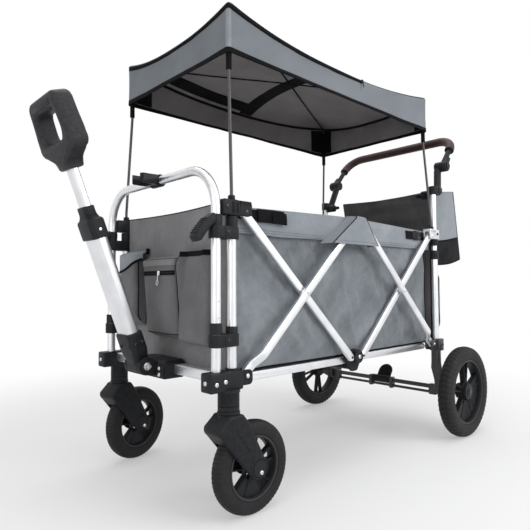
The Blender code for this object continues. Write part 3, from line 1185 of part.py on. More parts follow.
def build_front():
    """Everything that stands on the front posts."""
    front_cross_tube()
    drawbar_base()
    hoop_tube()
    hoop_clip()
    front_wall()
    for side, s in SIDES:
        front_bracket(side, s)
        front_post(side, s)
        front_top_bracket(side, s)
        canopy_pole("canopy_pole_front_" + side, s, 0.0, TOP_BRACKET_TOP_Z - 0.019 + FIT, CANOPY_POLE_FRONT_X)
        turn = CASTER_STEER_RIGHT if s > 0 else 0.0
        caster_y = s * FRONT_TRACK / 2
        swivel = new_axis("caster_axis_" + side, (CASTER_X, caster_y, 0), (0, 0, turn), FRAME)
        caster_fork(side, caster_y, swivel)
        centre = Vector((CASTER_X + CASTER_TRAIL, caster_y, FRONT_WHEEL_R))
        tyre("front_tyre_" + side, centre, FRONT_WHEEL_R, FRONT_RIM_R, FRONT_TYRE_WIDTH, swivel)
        rim("front_rim_" + side, centre, FRONT_RIM_R, 0.028, 0.014, 0.0060, 13, 0.028, swivel)


def build_scissor():
    """The eight arms, the centre beam, the links and the folding floor."""
    for side, s in SIDES:
        for end, post_x, ahead in (("front", 0.0, 1), ("rear", POST_PITCH, -1)):
            pin_x = post_x + ahead * PIN_INSET
            centre_x = MIDDLE_X - ahead * CENTRE_PIN_HALF
            inner_arm(end + "_inner_arm_" + side, (pin_x, UPPER_PIN_Z), (centre_x, LOWER_PIN_Z), s)
            outer_arm(end + "_outer_arm_" + side, (pin_x, LOWER_PIN_Z), (centre_x, UPPER_PIN_Z), s)
        top_link(side, s)
        side_wall(side, s)
    centre_beam()
    front_axis = new_axis("front_floor_axis", (PIN_INSET, 0, RAIL_Z), parent=FRAME)
    rear_axis = new_axis("rear_floor_axis", (POST_PITCH - PIN_INSET, 0, RAIL_Z), parent=FRAME)
    floor_panel("front_floor_panel", PIN_INSET, 1, FRONT_RAIL_Y, front_axis)
    floor_panel("rear_floor_panel", POST_PITCH - PIN_INSET, -1, REAR_RAIL_Y, rear_axis)


def build_rear():
    """Everything that stands on the rear posts."""
    rear_axle_frame()
    brake_pedal()
    rear_wall()
    rear_bag()
    tilt = new_axis("push_handle_axis", (HANDLE_PIVOT_X, 0, HANDLE_PIVOT_Z), (0, HANDLE_LEAN, 0), FRAME)
    push_bar(tilt)
    handle_grip(tilt)
    for side, s in SIDES:
        rear_post(side, s)
        rear_upper_tube(side, s)
        handle_arm(side, s)
        canopy_pole("canopy_pole_rear_" + side, s, POST_PITCH - POLE_OFFSET, TOP_BRACKET_TOP_Z - 0.007 + FIT,
                    CANOPY_POLE_REAR_X)
        pivot_button(side, s, tilt)
        centre = Vector((REAR_AXLE_X, s * REAR_TRACK / 2, REAR_WHEEL_R))
        tyre("rear_tyre_" + side, centre, REAR_WHEEL_R, REAR_RIM_R, REAR_TYRE_WIDTH, None)
        rim("rear_rim_" + side, centre, REAR_RIM_R, 0.032, 0.024, 0.0050, 9, 0.040, None)


def build_drawbar():
    """The drawbar, modelled upright and leaned forward at its pivot."""
    axis = new_axis("drawbar_axis", (DRAWBAR_PIVOT_X, 0, DRAWBAR_PIVOT_Z), (0, -DRAWBAR_LEAN, 0), FRAME)
    drawbar_yoke(axis)
    upright_tube("drawbar_outer_tube", OUTER_TUBE, OUTER_TUBE_WALL, OUTER_TUBE_FOOT, OUTER_TUBE_TOP, 0.010,
                 ALUMINIUM, axis)
    drawbar_collar(axis)
    drawbar_inner_tube(axis)
    drawbar_grip(axis)


build_front()
build_scissor()
build_rear()
build_drawbar()
canopy_cover()
bpy.context.view_layer.update()
print("nodes", len([ob for ob in WAGON.objects if ob.type == "MESH"]), "shift", round(WAGON_SHIFT, 4))
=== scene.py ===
import json
from math import atan2, copysign, cos, degrees, hypot, pi, radians, sin

import bmesh
import bpy
from mathutils import Matrix, Vector, noise


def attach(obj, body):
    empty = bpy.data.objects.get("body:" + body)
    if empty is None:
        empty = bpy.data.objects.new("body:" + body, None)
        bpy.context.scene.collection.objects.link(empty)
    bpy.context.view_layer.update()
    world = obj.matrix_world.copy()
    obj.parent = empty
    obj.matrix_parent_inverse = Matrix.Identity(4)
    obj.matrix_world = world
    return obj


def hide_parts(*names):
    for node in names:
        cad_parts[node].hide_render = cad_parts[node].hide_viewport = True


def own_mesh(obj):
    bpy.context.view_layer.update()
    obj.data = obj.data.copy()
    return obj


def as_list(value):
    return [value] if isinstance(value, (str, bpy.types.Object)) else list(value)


# Folding wagon with a canopy: the finish of every piece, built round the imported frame.
# Metres, +Z up, the wagon is pulled towards -X. Places along X are measured from the front posts' axis.
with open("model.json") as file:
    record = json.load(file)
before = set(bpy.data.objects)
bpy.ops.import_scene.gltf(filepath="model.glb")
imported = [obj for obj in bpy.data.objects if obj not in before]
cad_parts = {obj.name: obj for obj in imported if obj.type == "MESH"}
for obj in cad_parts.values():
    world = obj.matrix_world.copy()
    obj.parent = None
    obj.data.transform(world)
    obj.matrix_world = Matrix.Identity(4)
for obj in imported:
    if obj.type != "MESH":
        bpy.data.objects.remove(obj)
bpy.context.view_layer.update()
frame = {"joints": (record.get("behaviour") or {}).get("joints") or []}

# Photographer's place and the white studio
# The wagon stands on a white floor that runs into a white background and stays under its casters. Broad
# soft lamps light the near side and the top, so the front is darker and a soft shadow lies underneath.
PIN_INSET = 0.032
upper_pin = next(joint for joint in frame["joints"] if joint["name"] == "front_carriage_pivot")
WAGON = Matrix.Translation((upper_pin["pos_m"][0] - PIN_INSET, 0, 0))
SENSOR = 36.0
PHOTO_WIDTH = 530
FOCAL_PIXELS = 499.88
VIEW_AZIMUTH = radians(46.695)
VIEW_RISE = radians(2.322)
VIEW_ROLL = radians(-0.286)
EYE = (-0.652, -1.015, 0.468)


def new_object(name, data):
    """Put an object into the scene."""
    made = bpy.data.objects.new(name, data)
    bpy.context.scene.collection.objects.link(made)
    return made


def at(x, y, z):
    """Placing of a piece at a spot, not turned."""
    return Matrix.Translation((x, y, z))


def aimed(way):
    """The turn of a camera or a lamp that looks along a direction."""
    return way.to_track_quat("-Z", "Y").to_matrix().to_4x4()


camera = new_object("camera", bpy.data.cameras.new("camera"))
camera.data.sensor_width = SENSOR
camera.data.lens = SENSOR * FOCAL_PIXELS / PHOTO_WIDTH
camera.data.clip_start = 0.05
look = Vector((cos(VIEW_RISE) * cos(VIEW_AZIMUTH), cos(VIEW_RISE) * sin(VIEW_AZIMUTH), sin(VIEW_RISE)))
camera.matrix_world = WAGON @ at(*EYE) @ aimed(look) @ Matrix.Rotation(VIEW_ROLL, 4, "Z")
bpy.context.scene.camera = camera
bpy.context.scene.view_settings.view_transform = "Standard"

for name, place, target, size, power in (("key_lamp", (1.3, -3.0, 1.9), (0.4, 0, 0.5), 2.2, 64),
                                         ("front_lamp", (-3.0, -1.2, 1.4), (0.2, 0, 0.5), 1.8, 26),
                                         ("top_lamp", (0.5, 0.1, 3.6), (0.45, 0, 0), 3.2, 62)):
    lamp = new_object(name, bpy.data.lights.new(name, "AREA"))
    lamp.data.size = size
    lamp.data.energy = power
    lamp.matrix_world = WAGON @ at(*place) @ aimed(Vector(target) - Vector(place))
    lamp.visible_camera = False


def output_of(source):
    """A node's first output, or the socket itself where one is given."""
    return source.outputs[0] if isinstance(source, bpy.types.Node) else source


def add_node(tree, kind, inputs=(), **options):
    """Add a shader node, set its options, and set its inputs or link them to nodes or sockets."""
    made = tree.nodes.new("ShaderNode" + kind)
    for option, value in options.items():
        setattr(made, option, value)
    for socket, value in dict(inputs).items():
        value = output_of(value)
        if isinstance(value, bpy.types.NodeSocket):
            tree.links.new(value, made.inputs[socket])
        else:
            made.inputs[socket].default_value = value
    return made


def reckon(tree, operation, *values):
    """A maths node on two or three values."""
    return add_node(tree, "Math", dict(enumerate(values)), operation=operation)


def seen_directly(tree):
    """A mask of the rays that show the background itself, to the camera, in a mirror or through glass."""
    rays = add_node(tree, "LightPath").outputs
    shown = reckon(tree, "MAXIMUM", rays["Is Camera Ray"], rays["Is Glossy Ray"])
    return reckon(tree, "MAXIMUM", shown, rays["Is Transmission Ray"])


AMBIENT = 0.42
world = bpy.data.worlds.new("studio")
bpy.context.scene.world = world
world.use_nodes = True
sky = world.node_tree
sky_level = add_node(sky, "MapRange", {0: seen_directly(sky), 3: AMBIENT, 4: 1.0})
sky.links.new(sky_level.outputs[0], sky.nodes["Background"].inputs["Strength"])
sky.nodes["Background"].inputs["Color"].default_value = (1, 1, 1, 1)

FLOOR_HALF = 6.0
FLOOR_DROP = 0.0005
FADE_START, FADE_END = 0.75, 1.9
floor_mesh = bpy.data.meshes.new("studio_floor")
bm = bmesh.new()
bmesh.ops.create_grid(bm, x_segments=8, y_segments=8, size=FLOOR_HALF)
bm.to_mesh(floor_mesh)
bm.free()
floor = new_object("studio_floor", floor_mesh)
floor.location.z = -FLOOR_DROP
studio_white = bpy.data.materials.new("studio_white")
studio_white.use_nodes = True
tree = studio_white.node_tree
tree.nodes.remove(tree.nodes["Principled BSDF"])
floor_spot = add_node(tree, "TexCoord").outputs["Object"]
from_middle = add_node(tree, "VectorMath", {0: floor_spot}, operation="LENGTH").outputs["Value"]
fade = add_node(tree, "MapRange", {0: from_middle, 1: FADE_START, 2: FADE_END, 3: 0.34, 4: 1.0},
                interpolation_type="SMOOTHSTEP")
share = reckon(tree, "MULTIPLY", fade, seen_directly(tree))
lit = add_node(tree, "BsdfDiffuse", {"Color": (0.86, 0.86, 0.86, 1)})
white = add_node(tree, "Emission", {"Color": (1, 1, 1, 1), "Strength": 1.0})
both = add_node(tree, "MixShader", {0: share, 1: lit, 2: white})
tree.links.new(both.outputs[0], tree.nodes["Material Output"].inputs["Surface"])
floor_mesh.materials.append(studio_white)
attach(floor, "front_frame")

# Front corner brackets
# Glass-filled nylon blocks at the feet of the front posts, moulded with a two-cheeked ear for the scissor
# arm, a round housing for the caster below and a steel guide rod inside the hoop's leg. Two screws hold each.
SIDES = (("left", -1), ("right", 1))
POST_Y, HOOP_X = 0.2235, -0.0407
CASTER_X, CASTER_Y = -0.014, 0.23
BRACKET_LOW, BRACKET_TOP = 0.259, 0.297
BRACKET_IN, BRACKET_OUT = 0.2085, 0.2435
LOWER_PIN_Z, UPPER_PIN_Z, RAIL_Z = 0.282, 0.621, 0.273
EAR_HALF, CHEEK, EAR_LOW, EAR_TOP = 0.013, 0.0065, 0.264, 0.295
PIN_R, SCREW_R = 0.003, 0.0046
ALONG_X, ALONG_Y, ALONG_Z = Vector((1, 0, 0)), Vector((0, 1, 0)), Vector((0, 0, 1))


def new_group(name, **inputs):
    """A shader node group with named float inputs, and the sockets they come in by."""
    group = bpy.data.node_groups.new(name, "ShaderNodeTree")
    for label, value in inputs.items():
        socket = group.interface.new_socket(label, in_out="INPUT", socket_type="NodeSocketFloat")
        socket.default_value = value
    return group, group.nodes.new("NodeGroupInput").outputs


def send_out(group, **results):
    """Give a node group its named outputs."""
    for label in results:
        group.interface.new_socket(label, in_out="OUTPUT", socket_type="NodeSocketFloat")
    leave = group.nodes.new("NodeGroupOutput")
    for label, source in results.items():
        group.links.new(output_of(source), leave.inputs[label])


def place_group(tree, group, **inputs):
    """Place a node group in a material with its own values, and give its outputs."""
    made = tree.nodes.new("ShaderNodeGroup")
    made.node_tree = group
    for label, value in inputs.items():
        made.inputs[label].default_value = value
    return made.outputs


HANDLING, entry = new_group("handling_marks", Blotches=14, Rub_Start=0.52, Rub_End=0.6)
spot = add_node(HANDLING, "TexCoord").outputs["Object"]
blotch = add_node(HANDLING, "TexNoise", {"Vector": spot, "Scale": entry["Blotches"], "Detail": 4.0,
                                         "Roughness": 0.6})
shape = add_node(HANDLING, "NewGeometry").outputs
ragged = add_node(HANDLING, "TexNoise", {"Vector": spot, "Scale": 160.0, "Detail": 3.0})
edge = reckon(HANDLING, "MULTIPLY_ADD", ragged, 0.12, shape["Pointiness"])
rub = add_node(HANDLING, "MapRange", {0: edge, 1: entry["Rub_Start"], 2: entry["Rub_End"]})
upward = add_node(HANDLING, "SeparateXYZ", {0: shape["Normal"]}).outputs["Z"]
settled = add_node(HANDLING, "MapRange", {0: upward, 1: 0.55, 2: 1.0})
send_out(HANDLING, Blotch=blotch, Rub=rub, Dust=reckon(HANDLING, "MULTIPLY", settled, blotch))

GRAIN, entry = new_group("spark_grain", Pitch=900.0)
spot = add_node(GRAIN, "TexCoord").outputs["Object"]
cells = add_node(GRAIN, "TexVoronoi", {"Vector": spot, "Scale": entry["Pitch"]})
fine = add_node(GRAIN, "TexNoise", {"Vector": spot, "Scale": entry["Pitch"], "Detail": 2.0})
send_out(GRAIN, Height=reckon(GRAIN, "ADD", cells, fine))
slot_of = {}


def new_paint(name, slot, **sockets):
    """A material for a slot, with its Principled sockets set; underscores stand for spaces."""
    paint = bpy.data.materials.new(name)
    paint.use_nodes = True
    slot_of[paint] = slot
    shader = paint.node_tree.nodes["Principled BSDF"]
    for label, value in sockets.items():
        shader.inputs[label.replace("_", " ")].default_value = value
    return paint, paint.node_tree, shader


def mix_colours(tree, share, first, second):
    """The colour between two colours by a mask that changes over the surface."""
    ends = [c if isinstance(c, bpy.types.NodeSocket) else (*c, 1) for c in (first, second)]
    return add_node(tree, "Mix", {0: share, 6: ends[0], 7: ends[1]}, data_type="RGBA").outputs[2]


def spread(tree, mask, low, high):
    """Scale a mask to run from low to high."""
    return add_node(tree, "MapRange", {0: mask, 1: 0.3, 2: 0.7, 3: low, 4: high}).outputs[0]


def lay_on(tree, shader, colour, roughness, height, depth):
    """Feed a material's colour, roughness and relief, each where there is one."""
    tree.links.new(colour, shader.inputs["Base Color"])
    if roughness:
        tree.links.new(roughness, shader.inputs["Roughness"])
    if height:
        bump = add_node(tree, "Bump", {"Height": height, "Distance": depth, "Strength": 1.0})
        tree.links.new(bump.outputs["Normal"], shader.inputs["Normal"])


def moulded(name, colour, rubbed, gloss, pitch, depth):
    """Moulded plastic: spark-eroded grain, blotches of gloss, rubbed edges and a little dust."""
    paint, tree, shader = new_paint(name, "black_plastic", Specular_IOR_Level=0.1)
    marks = place_group(tree, HANDLING)
    worn = mix_colours(tree, marks["Rub"], colour, rubbed)
    dusty = mix_colours(tree, spread(tree, marks["Dust"], 0.0, 0.16), worn, (0.032, 0.032, 0.033))
    lay_on(tree, shader, dusty, spread(tree, marks["Blotch"], *gloss), place_group(tree, GRAIN, Pitch=pitch)[0],
           depth)
    return paint


def blotched(name, slot, dark, light, gloss, scale, mask="Blotch", pitch=0.0, depth=0.0, **sockets):
    """A finish that wanders between two colours, grained where a pitch is given."""
    paint, tree, shader = new_paint(name, slot, **sockets)
    marks = place_group(tree, HANDLING, Blotches=scale)
    roughness = spread(tree, marks["Blotch"], *gloss) if gloss else None
    grain = place_group(tree, GRAIN, Pitch=pitch)[0] if pitch else None
    lay_on(tree, shader, mix_colours(tree, marks[mask], dark, light), roughness, grain, depth)
    return paint


NYLON = moulded("satin_nylon", (0.007, 0.0074, 0.0086), (0.022, 0.023, 0.026), (0.34, 0.5), 900.0, 0.00012)
GLOSSY_NYLON = moulded("glossy_nylon", (0.006, 0.0062, 0.0072), (0.022, 0.022, 0.025), (0.16, 0.28), 700.0,
                       0.00004)
SCREW_STEEL = blotched("zinc_screw", "black_steel", (0.62, 0.62, 0.61), (0.78, 0.78, 0.77), (0.22, 0.38), 400.0,
                       Metallic=1.0)
DARK_SCREW = blotched("black_oxide_screw", "black_steel", (0.03, 0.03, 0.032), (0.07, 0.07, 0.072), (0.3, 0.42),
                      300.0, Metallic=0.9)


def merged(parts):
    """One mesh of several, each a mesh or a (mesh, matrix) pair."""
    bm = bmesh.new()
    for part in parts:
        mesh, place = part if isinstance(part, tuple) else (part, Matrix())
        mesh.transform(place)
        bm.from_mesh(mesh)
        bpy.data.meshes.remove(mesh)
    mesh = bpy.data.meshes.new("merged")
    bm.to_mesh(mesh)
    bm.free()
    return mesh


def piece(name, mesh, paint, body, place=None, smooth=35, stands_for=None, slot=None):
    """Add a mesh, or a list of parts, as a piece of the wagon that rides on a body."""
    mesh = merged(mesh) if isinstance(mesh, list) else mesh
    mesh.materials.clear()
    mesh.materials.append(paint)
    ob = new_object(name, mesh)
    ob.matrix_world = WAGON @ (place or Matrix())
    mesh.shade_smooth()
    mesh.set_sharp_from_angle(angle=radians(smooth))
    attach(ob, body)
    slot or slot_of[paint]
    if stands_for:
        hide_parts(stands_for)
    return ob


def mesh_of(bm):
    """Turn a bmesh into a mesh with outward faces, and free it."""
    bmesh.ops.recalc_face_normals(bm, faces=bm.faces)
    mesh = bpy.data.meshes.new("mesh")
    bm.to_mesh(mesh)
    bm.free()
    return mesh


def arc(centre, radius, start, end, count=8):
    """Points on an arc, angles in degrees."""
    turns = [radians(start + (end - start) * i / count) for i in range(count + 1)]
    return [(centre[0] + radius * cos(t), centre[1] + radius * sin(t)) for t in turns]


def circle(centre, radius, count=40):
    """Points round a full circle."""
    return arc(centre, radius, 0, 360, count)[:-1]


def stadium(length, radius, count=12):
    """A bar with round ends, its end centres at 0 and at length."""
    return arc((length, 0), radius, -90, 90, count) + arc((0, 0), radius, 90, 270, count)


def soft_rectangle(x0, y0, x1, y1, radius, count=6):
    """A rectangle with round corners."""
    corners = (((x1 - radius, y0 + radius), -90), ((x1 - radius, y1 - radius), 0),
               ((x0 + radius, y1 - radius), 90), ((x0 + radius, y0 + radius), 180))
    return [p for centre, start in corners for p in arc(centre, radius, start, start + 90, count)]


def axes(place, x_axis, z_axis):
    """The matrix of a piece whose own X and Z point along two directions."""
    x_axis, z_axis = Vector(x_axis).normalized(), Vector(z_axis).normalized()
    return at(*place) @ Matrix((x_axis, z_axis.cross(x_axis), z_axis)).transposed().to_4x4()


def facing(x, y, z, s):
    """Placing of a turned piece whose own Z points to side s."""
    return axes((x, y, z), ALONG_X, ALONG_Y * s)


def seen_from_side(y, x=0.0, z=0.0):
    """Placing of an outline drawn in X and Z."""
    return facing(x, y, z, -1)


def curve_mesh(outlines, **options):
    """The closed mesh of a curve through outlines of points."""
    curve = bpy.data.curves.new("outline", "CURVE")
    for option, value in options.items():
        setattr(curve, option, value)
    for outline in outlines:
        spline = curve.splines.new("POLY")
        spline.points.add(len(outline) - 1)
        for point, co in zip(spline.points, outline):
            point.co = (*Vector(co).to_3d(), 1)
        spline.use_cyclic_u = curve.dimensions == "2D"
    shape = new_object("shape", curve)
    bpy.context.view_layer.update()
    mesh = bpy.data.meshes.new_from_object(shape.evaluated_get(bpy.context.evaluated_depsgraph_get()))
    bpy.data.objects.remove(shape)
    bpy.data.curves.remove(curve)
    bm = bmesh.new()
    bm.from_mesh(mesh)
    bpy.data.meshes.remove(mesh)
    bmesh.ops.remove_doubles(bm, verts=bm.verts, dist=1e-6)
    return mesh_of(bm)


def plate(outline, thick, edge=0.0, holes=()):
    """A plate of a flat outline less its holes, its edges rounded."""
    return curve_mesh([outline, *holes], dimensions="2D", fill_mode="BOTH", extrude=thick / 2 - edge,
                      bevel_depth=edge, bevel_resolution=3, offset=-edge)


def round_rod(points, radius, resolution=6):
    """A round rod along points, with closed ends."""
    return curve_mesh([points], dimensions="3D", bevel_depth=radius, bevel_resolution=resolution,
                      use_fill_caps=True)


def lofted(rings, looped=False):
    """The skin over rings of points. Its ends are capped, or join each other when it is looped."""
    bm = bmesh.new()
    made = [[bm.verts.new(point) for point in ring] for ring in rings]
    for first, second in zip(made, made[1:] + (made[:1] if looped else [])):
        for i in range(max(len(first), len(second))):
            j = i + 1
            corners = (first[i % len(first)], first[j % len(first)], second[j % len(second)],
                       second[i % len(second)])
            bm.faces.new(list(dict.fromkeys(corners)))
    for ring in () if looped else (made[0], made[-1]):
        if len(ring) > 1:
            bm.faces.new(ring)
    return mesh_of(bm)


def ring_of(radius, z, steps):
    """Points round Z, or one point where the radius is nought."""
    turns = [2 * pi * i / steps for i in range(steps if radius > 0 else 1)]
    return [(radius * cos(t), radius * sin(t), z) for t in turns]


def lathe(profile, steps=56):
    """A profile of (radius, height) points turned about Z; one that starts off the axis makes a ring."""
    return lofted([ring_of(r, z, steps) for r, z in profile], profile[0][0] > 0)


def soft_block(low, high, edge, segments=3):
    """A box between two corners with rounded edges."""
    low, high = Vector(low), Vector(high)
    bm = bmesh.new()
    bmesh.ops.create_cube(bm, size=1)
    bmesh.ops.scale(bm, vec=high - low, verts=bm.verts)
    bmesh.ops.translate(bm, vec=(low + high) / 2, verts=bm.verts)
    bmesh.ops.bevel(bm, geom=bm.edges, offset=edge, segments=segments, profile=0.5, affect="EDGES")
    return mesh_of(bm)


def side_block(s, x0, x1, y0, y1, z0, z1, edge, segments=3):
    """A rounded block on one side of the wagon, its Y values measured outwards."""
    near, far = sorted((s * y0, s * y1))
    return soft_block((x0, near, z0), (x1, far, z1), edge, segments)


def ear_block(s, x0, x1, z0, z1, edge):
    """A rounded block as wide as a bracket's ear."""
    return side_block(s, x0, x1, POST_Y - EAR_HALF, POST_Y + EAR_HALF, z0, z1, edge)


def ear_cheeks(s, x0, x1, z0, z1, radius):
    """Two cheeks that hold a scissor arm between them."""
    return [(plate(soft_rectangle(x0, z0, x1, z1, radius), CHEEK, 0.0012),
             seen_from_side(s * (POST_Y + way * (EAR_HALF - CHEEK / 2)))) for way in (-1, 1)]


def screw_head(radius):
    """A domed screw head with a hexagon recess, its own Z outwards and its seat at 0."""
    steps, socket = 24, radius * 0.46
    rings = [ring_of(radius * wide, radius * high, steps)
             for wide, high in ((1, 0), (1, 0.3), (0.9, 0.48), (0.66, 0.6))]
    turns = [2 * pi * i / steps for i in range(steps)]
    wide = [socket / cos((t % (pi / 3)) - pi / 6) for t in turns]
    for z in (radius * 0.6, radius * 0.22):
        rings.append([(w * cos(t), w * sin(t), z) for w, t in zip(wide, turns)])
    return lofted(rings)


def screws(name, spots, radius, body, paint=SCREW_STEEL):
    """A group of equal screws, each at a place with its head's direction."""
    parts = [(screw_head(radius), at(*place) @ Vector(outwards).to_track_quat("Z", "Y").to_matrix().to_4x4())
             for place, outwards in spots]
    return piece(name, parts, paint, body, smooth=30)


def arm_pin(s, x, z, radius=0.0048, proud=0.0018):
    """The pin of an arm in its ear, with its low domed rivet head."""
    head = [(0, proud), (radius * 0.55, proud * 0.9), (radius * 0.9, proud * 0.5), (radius, 0), (0, -0.001)]
    return [(lathe(head, 20), facing(x, s * (POST_Y + EAR_HALF), z, s)),
            round_rod([(x, s * (POST_Y - 0.012), z), (x, s * (POST_Y + 0.0125), z)], PIN_R)]


def rail_pin(s, x, inner_y):
    """The pin that a floor rail hinges on."""
    return round_rod([(x, s * inner_y, RAIL_Z), (x, s * (POST_Y - 0.008), RAIL_Z)], PIN_R)


for side, s in SIDES:
    housing = lathe([(0, BRACKET_LOW + 0.003), (0.0235, BRACKET_LOW + 0.003), (0.0235, BRACKET_LOW - 0.003),
                     (0.022, BRACKET_LOW - 0.005), (0.022, 0.23), (0.0212, 0.2292), (0.022, 0.2284),
                     (0.022, 0.2205), (0.0212, 0.2193), (0, 0.2193)])
    body_parts = [side_block(s, HOOP_X - 0.027, 0.015, BRACKET_IN, BRACKET_OUT, BRACKET_LOW, BRACKET_TOP,
                             0.0035),
                  ear_block(s, 0.009, PIN_INSET - 0.011, EAR_LOW, EAR_LOW + 0.005, 0.001),
                  (housing, at(CASTER_X, s * CASTER_Y, 0)),
                  (lathe([(0, 0), (0.0135, 0), (0.0135, 0.003), (0.0128, 0.004), (0, 0.004)]),
                   at(0, s * POST_Y, BRACKET_TOP)),
                  (lathe([(0, 0), (0.0135, 0), (0.0135, 0.002), (0.0128, 0.003), (0, 0.003)]),
                   at(HOOP_X, s * POST_Y, BRACKET_TOP - 0.003))]
    body_parts += ear_cheeks(s, 0.008, PIN_INSET + 0.014, EAR_LOW, EAR_TOP, 0.01)
    piece("front_corner_bracket_" + side, body_parts, NYLON, "front_frame", stands_for="front_bracket_" + side)
    guide = round_rod([(HOOP_X, s * POST_Y, 0.292), (HOOP_X, s * POST_Y, 0.475)], 0.0075)
    piece("hoop_guide_rod_" + side, guide, SCREW_STEEL, "front_frame")
    screws("front_bracket_screws_" + side, [((HOOP_X - 0.014, s * BRACKET_OUT, 0.276), (0, s, 0)),
                                            ((HOOP_X + 0.008, s * BRACKET_OUT, 0.279), (0, s, 0)),
                                            ((HOOP_X - 0.027, s * 0.226, 0.278), (-1, 0, 0))], SCREW_R,
           "front_frame")
    pins = arm_pin(s, PIN_INSET, LOWER_PIN_Z) + [rail_pin(s, PIN_INSET, 0.1965)]
    piece("front_bracket_pins_" + side, pins, SCREW_STEEL, "front_frame")

# Front posts
# Drawn and anodised aluminium tubes of 20 mm that stand in the corner brackets. Each carries two moulded
# double clamps and a sleeve, which guide the hoop's leg and stop the top bracket.
METAL_LINES, entry = new_group("drawn_lines", Across=900.0, Along=14.0)
spot = add_node(METAL_LINES, "TexCoord").outputs["Object"]
stretch = add_node(METAL_LINES, "CombineXYZ", {0: entry["Across"], 1: entry["Across"], 2: entry["Along"]})
longer = add_node(METAL_LINES, "VectorMath", {0: spot, 1: stretch}, operation="MULTIPLY")
lines = add_node(METAL_LINES, "TexNoise", {"Vector": longer, "Scale": 1.0, "Detail": 2.0})
cloud = add_node(METAL_LINES, "TexNoise", {"Vector": spot, "Scale": 22.0, "Detail": 3.0})
send_out(METAL_LINES, Lines=lines, Cloud=cloud)


def anodised(name, dark, light, gloss, depth=0.00003, **pitches):
    """Satin anodised aluminium with fine drawing lines along the piece's own Z."""
    paint, tree, shader = new_paint(name, "aluminium", Metallic=1.0)
    drawn = place_group(tree, METAL_LINES, **pitches)
    colour = mix_colours(tree, spread(tree, drawn["Cloud"], 0.0, 1.0), dark, light)
    lay_on(tree, shader, colour, spread(tree, drawn["Lines"], *gloss), drawn["Lines"], depth)
    return paint


ALUMINIUM = anodised("satin_aluminium", (0.7, 0.71, 0.73), (0.8, 0.81, 0.83), (0.3, 0.44))
TUBE_R = 0.01
CLAMP_LOWS = (0.345, 0.562)
CLAMP_HIGH = 0.026
for side, s in SIDES:
    y = s * POST_Y
    piece("front_post_tube_" + side, round_rod([(0, y, 0.2643), (0, y, 0.6072)], TUBE_R, 10), ALUMINIUM,
          "front_frame", stands_for="front_post_" + side)
    outline = [(x + HOOP_X, across) for x, across in stadium(-HOOP_X, 0.015)]
    parts = []
    for low in CLAMP_LOWS:
        parts.append((plate(outline, CLAMP_HIGH, 0.0022, [circle((HOOP_X, 0), 0.0104)]),
                      at(0, y, low + CLAMP_HIGH / 2)))
        parts.append(side_block(s, HOOP_X + 0.012, -0.012, POST_Y + 0.0135, POST_Y + 0.0165, low + 0.004,
                                low + CLAMP_HIGH - 0.004, 0.001))
    sleeve = lathe([(0, 0), (0.0128, 0), (0.0128, 0.0215), (0.0122, 0.0228), (0, 0.0228)])
    foot_sleeve = lathe([(0, 0), (0.0124, 0), (0.0124, 0.014), (0.0116, 0.0152), (0, 0.0152)])
    parts += [(sleeve, at(0, y, CLAMP_LOWS[1] + CLAMP_HIGH - 0.001)),
              (foot_sleeve, at(0, y, CLAMP_LOWS[0] + CLAMP_HIGH - 0.001))]
    piece("front_post_clamps_" + side, parts, NYLON, "front_frame")
    spots = [((HOOP_X / 2, s * (POST_Y + 0.0162), low + CLAMP_HIGH / 2), (0, s, 0)) for low in CLAMP_LOWS]
    screws("front_clamp_screws_" + side, spots, 0.0038, "front_frame", DARK_SCREW)

# Cross tube and drawbar saddle
# A square aluminium tube joins the two corner brackets. A moulded saddle is screwed round its middle and
# holds the drawbar's pivot pin between two lugs.
CROSS_X, CROSS_Z = -0.0205, 0.283
CROSS_DEEP, CROSS_HIGH, CROSS_WALL = 0.024, 0.022, 0.002
DRAWBAR_X, DRAWBAR_Z = -0.0836, 0.2916
HUB_R = 0.02
SADDLE_LOW, SADDLE_HIGH, SADDLE_FRONT, SADDLE_BACK = 0.262, 0.304, -0.062, -0.004


def middle_rectangle(deep, high, radius, count=6):
    """A rounded rectangle about the origin."""
    return soft_rectangle(-deep / 2, -high / 2, deep / 2, high / 2, radius, count)


hollow = middle_rectangle(CROSS_DEEP - 2 * CROSS_WALL, CROSS_HIGH - 2 * CROSS_WALL, 0.0015)
piece("cross_tube", plate(middle_rectangle(CROSS_DEEP, CROSS_HIGH, 0.003), 0.4164, 0, [hollow]), ALUMINIUM,
      "front_frame", seen_from_side(0, CROSS_X, CROSS_Z), stands_for="front_cross_tube")
saddle_outline = (arc((SADDLE_FRONT + 0.01, SADDLE_LOW + 0.01), 0.01, 180, 270)
                  + arc((SADDLE_BACK - 0.004, SADDLE_LOW + 0.004), 0.004, -90, 0, 4)
                  + arc((SADDLE_BACK - 0.008, SADDLE_HIGH - 0.008), 0.008, 0, 90)
                  + arc((SADDLE_FRONT + 0.018, SADDLE_HIGH - 0.018), 0.018, 90, 180, 12))
way = [(CROSS_X + x, CROSS_Z + z) for x, z in middle_rectangle(CROSS_DEEP + 0.0006, CROSS_HIGH + 0.0006, 0.003)]
saddle = [(plate(saddle_outline, 0.12, 0.0035, [way]), seen_from_side(0))]
lug_outline = (arc((DRAWBAR_X, DRAWBAR_Z), HUB_R, 84, 262, 20)
               + [(SADDLE_FRONT + 0.014, SADDLE_LOW + 0.006), (SADDLE_FRONT + 0.014, SADDLE_HIGH - 0.008)])
for s in (-1, 1):
    saddle += [(plate(lug_outline, 0.01, 0.002), seen_from_side(s * 0.0293)),
               side_block(s, SADDLE_FRONT + 0.006, SADDLE_BACK - 0.004, 0.0595, 0.0635, SADDLE_LOW + 0.004,
                          SADDLE_HIGH - 0.006, 0.0018)]
piece("drawbar_saddle", saddle, NYLON, "front_frame", stands_for="drawbar_base")
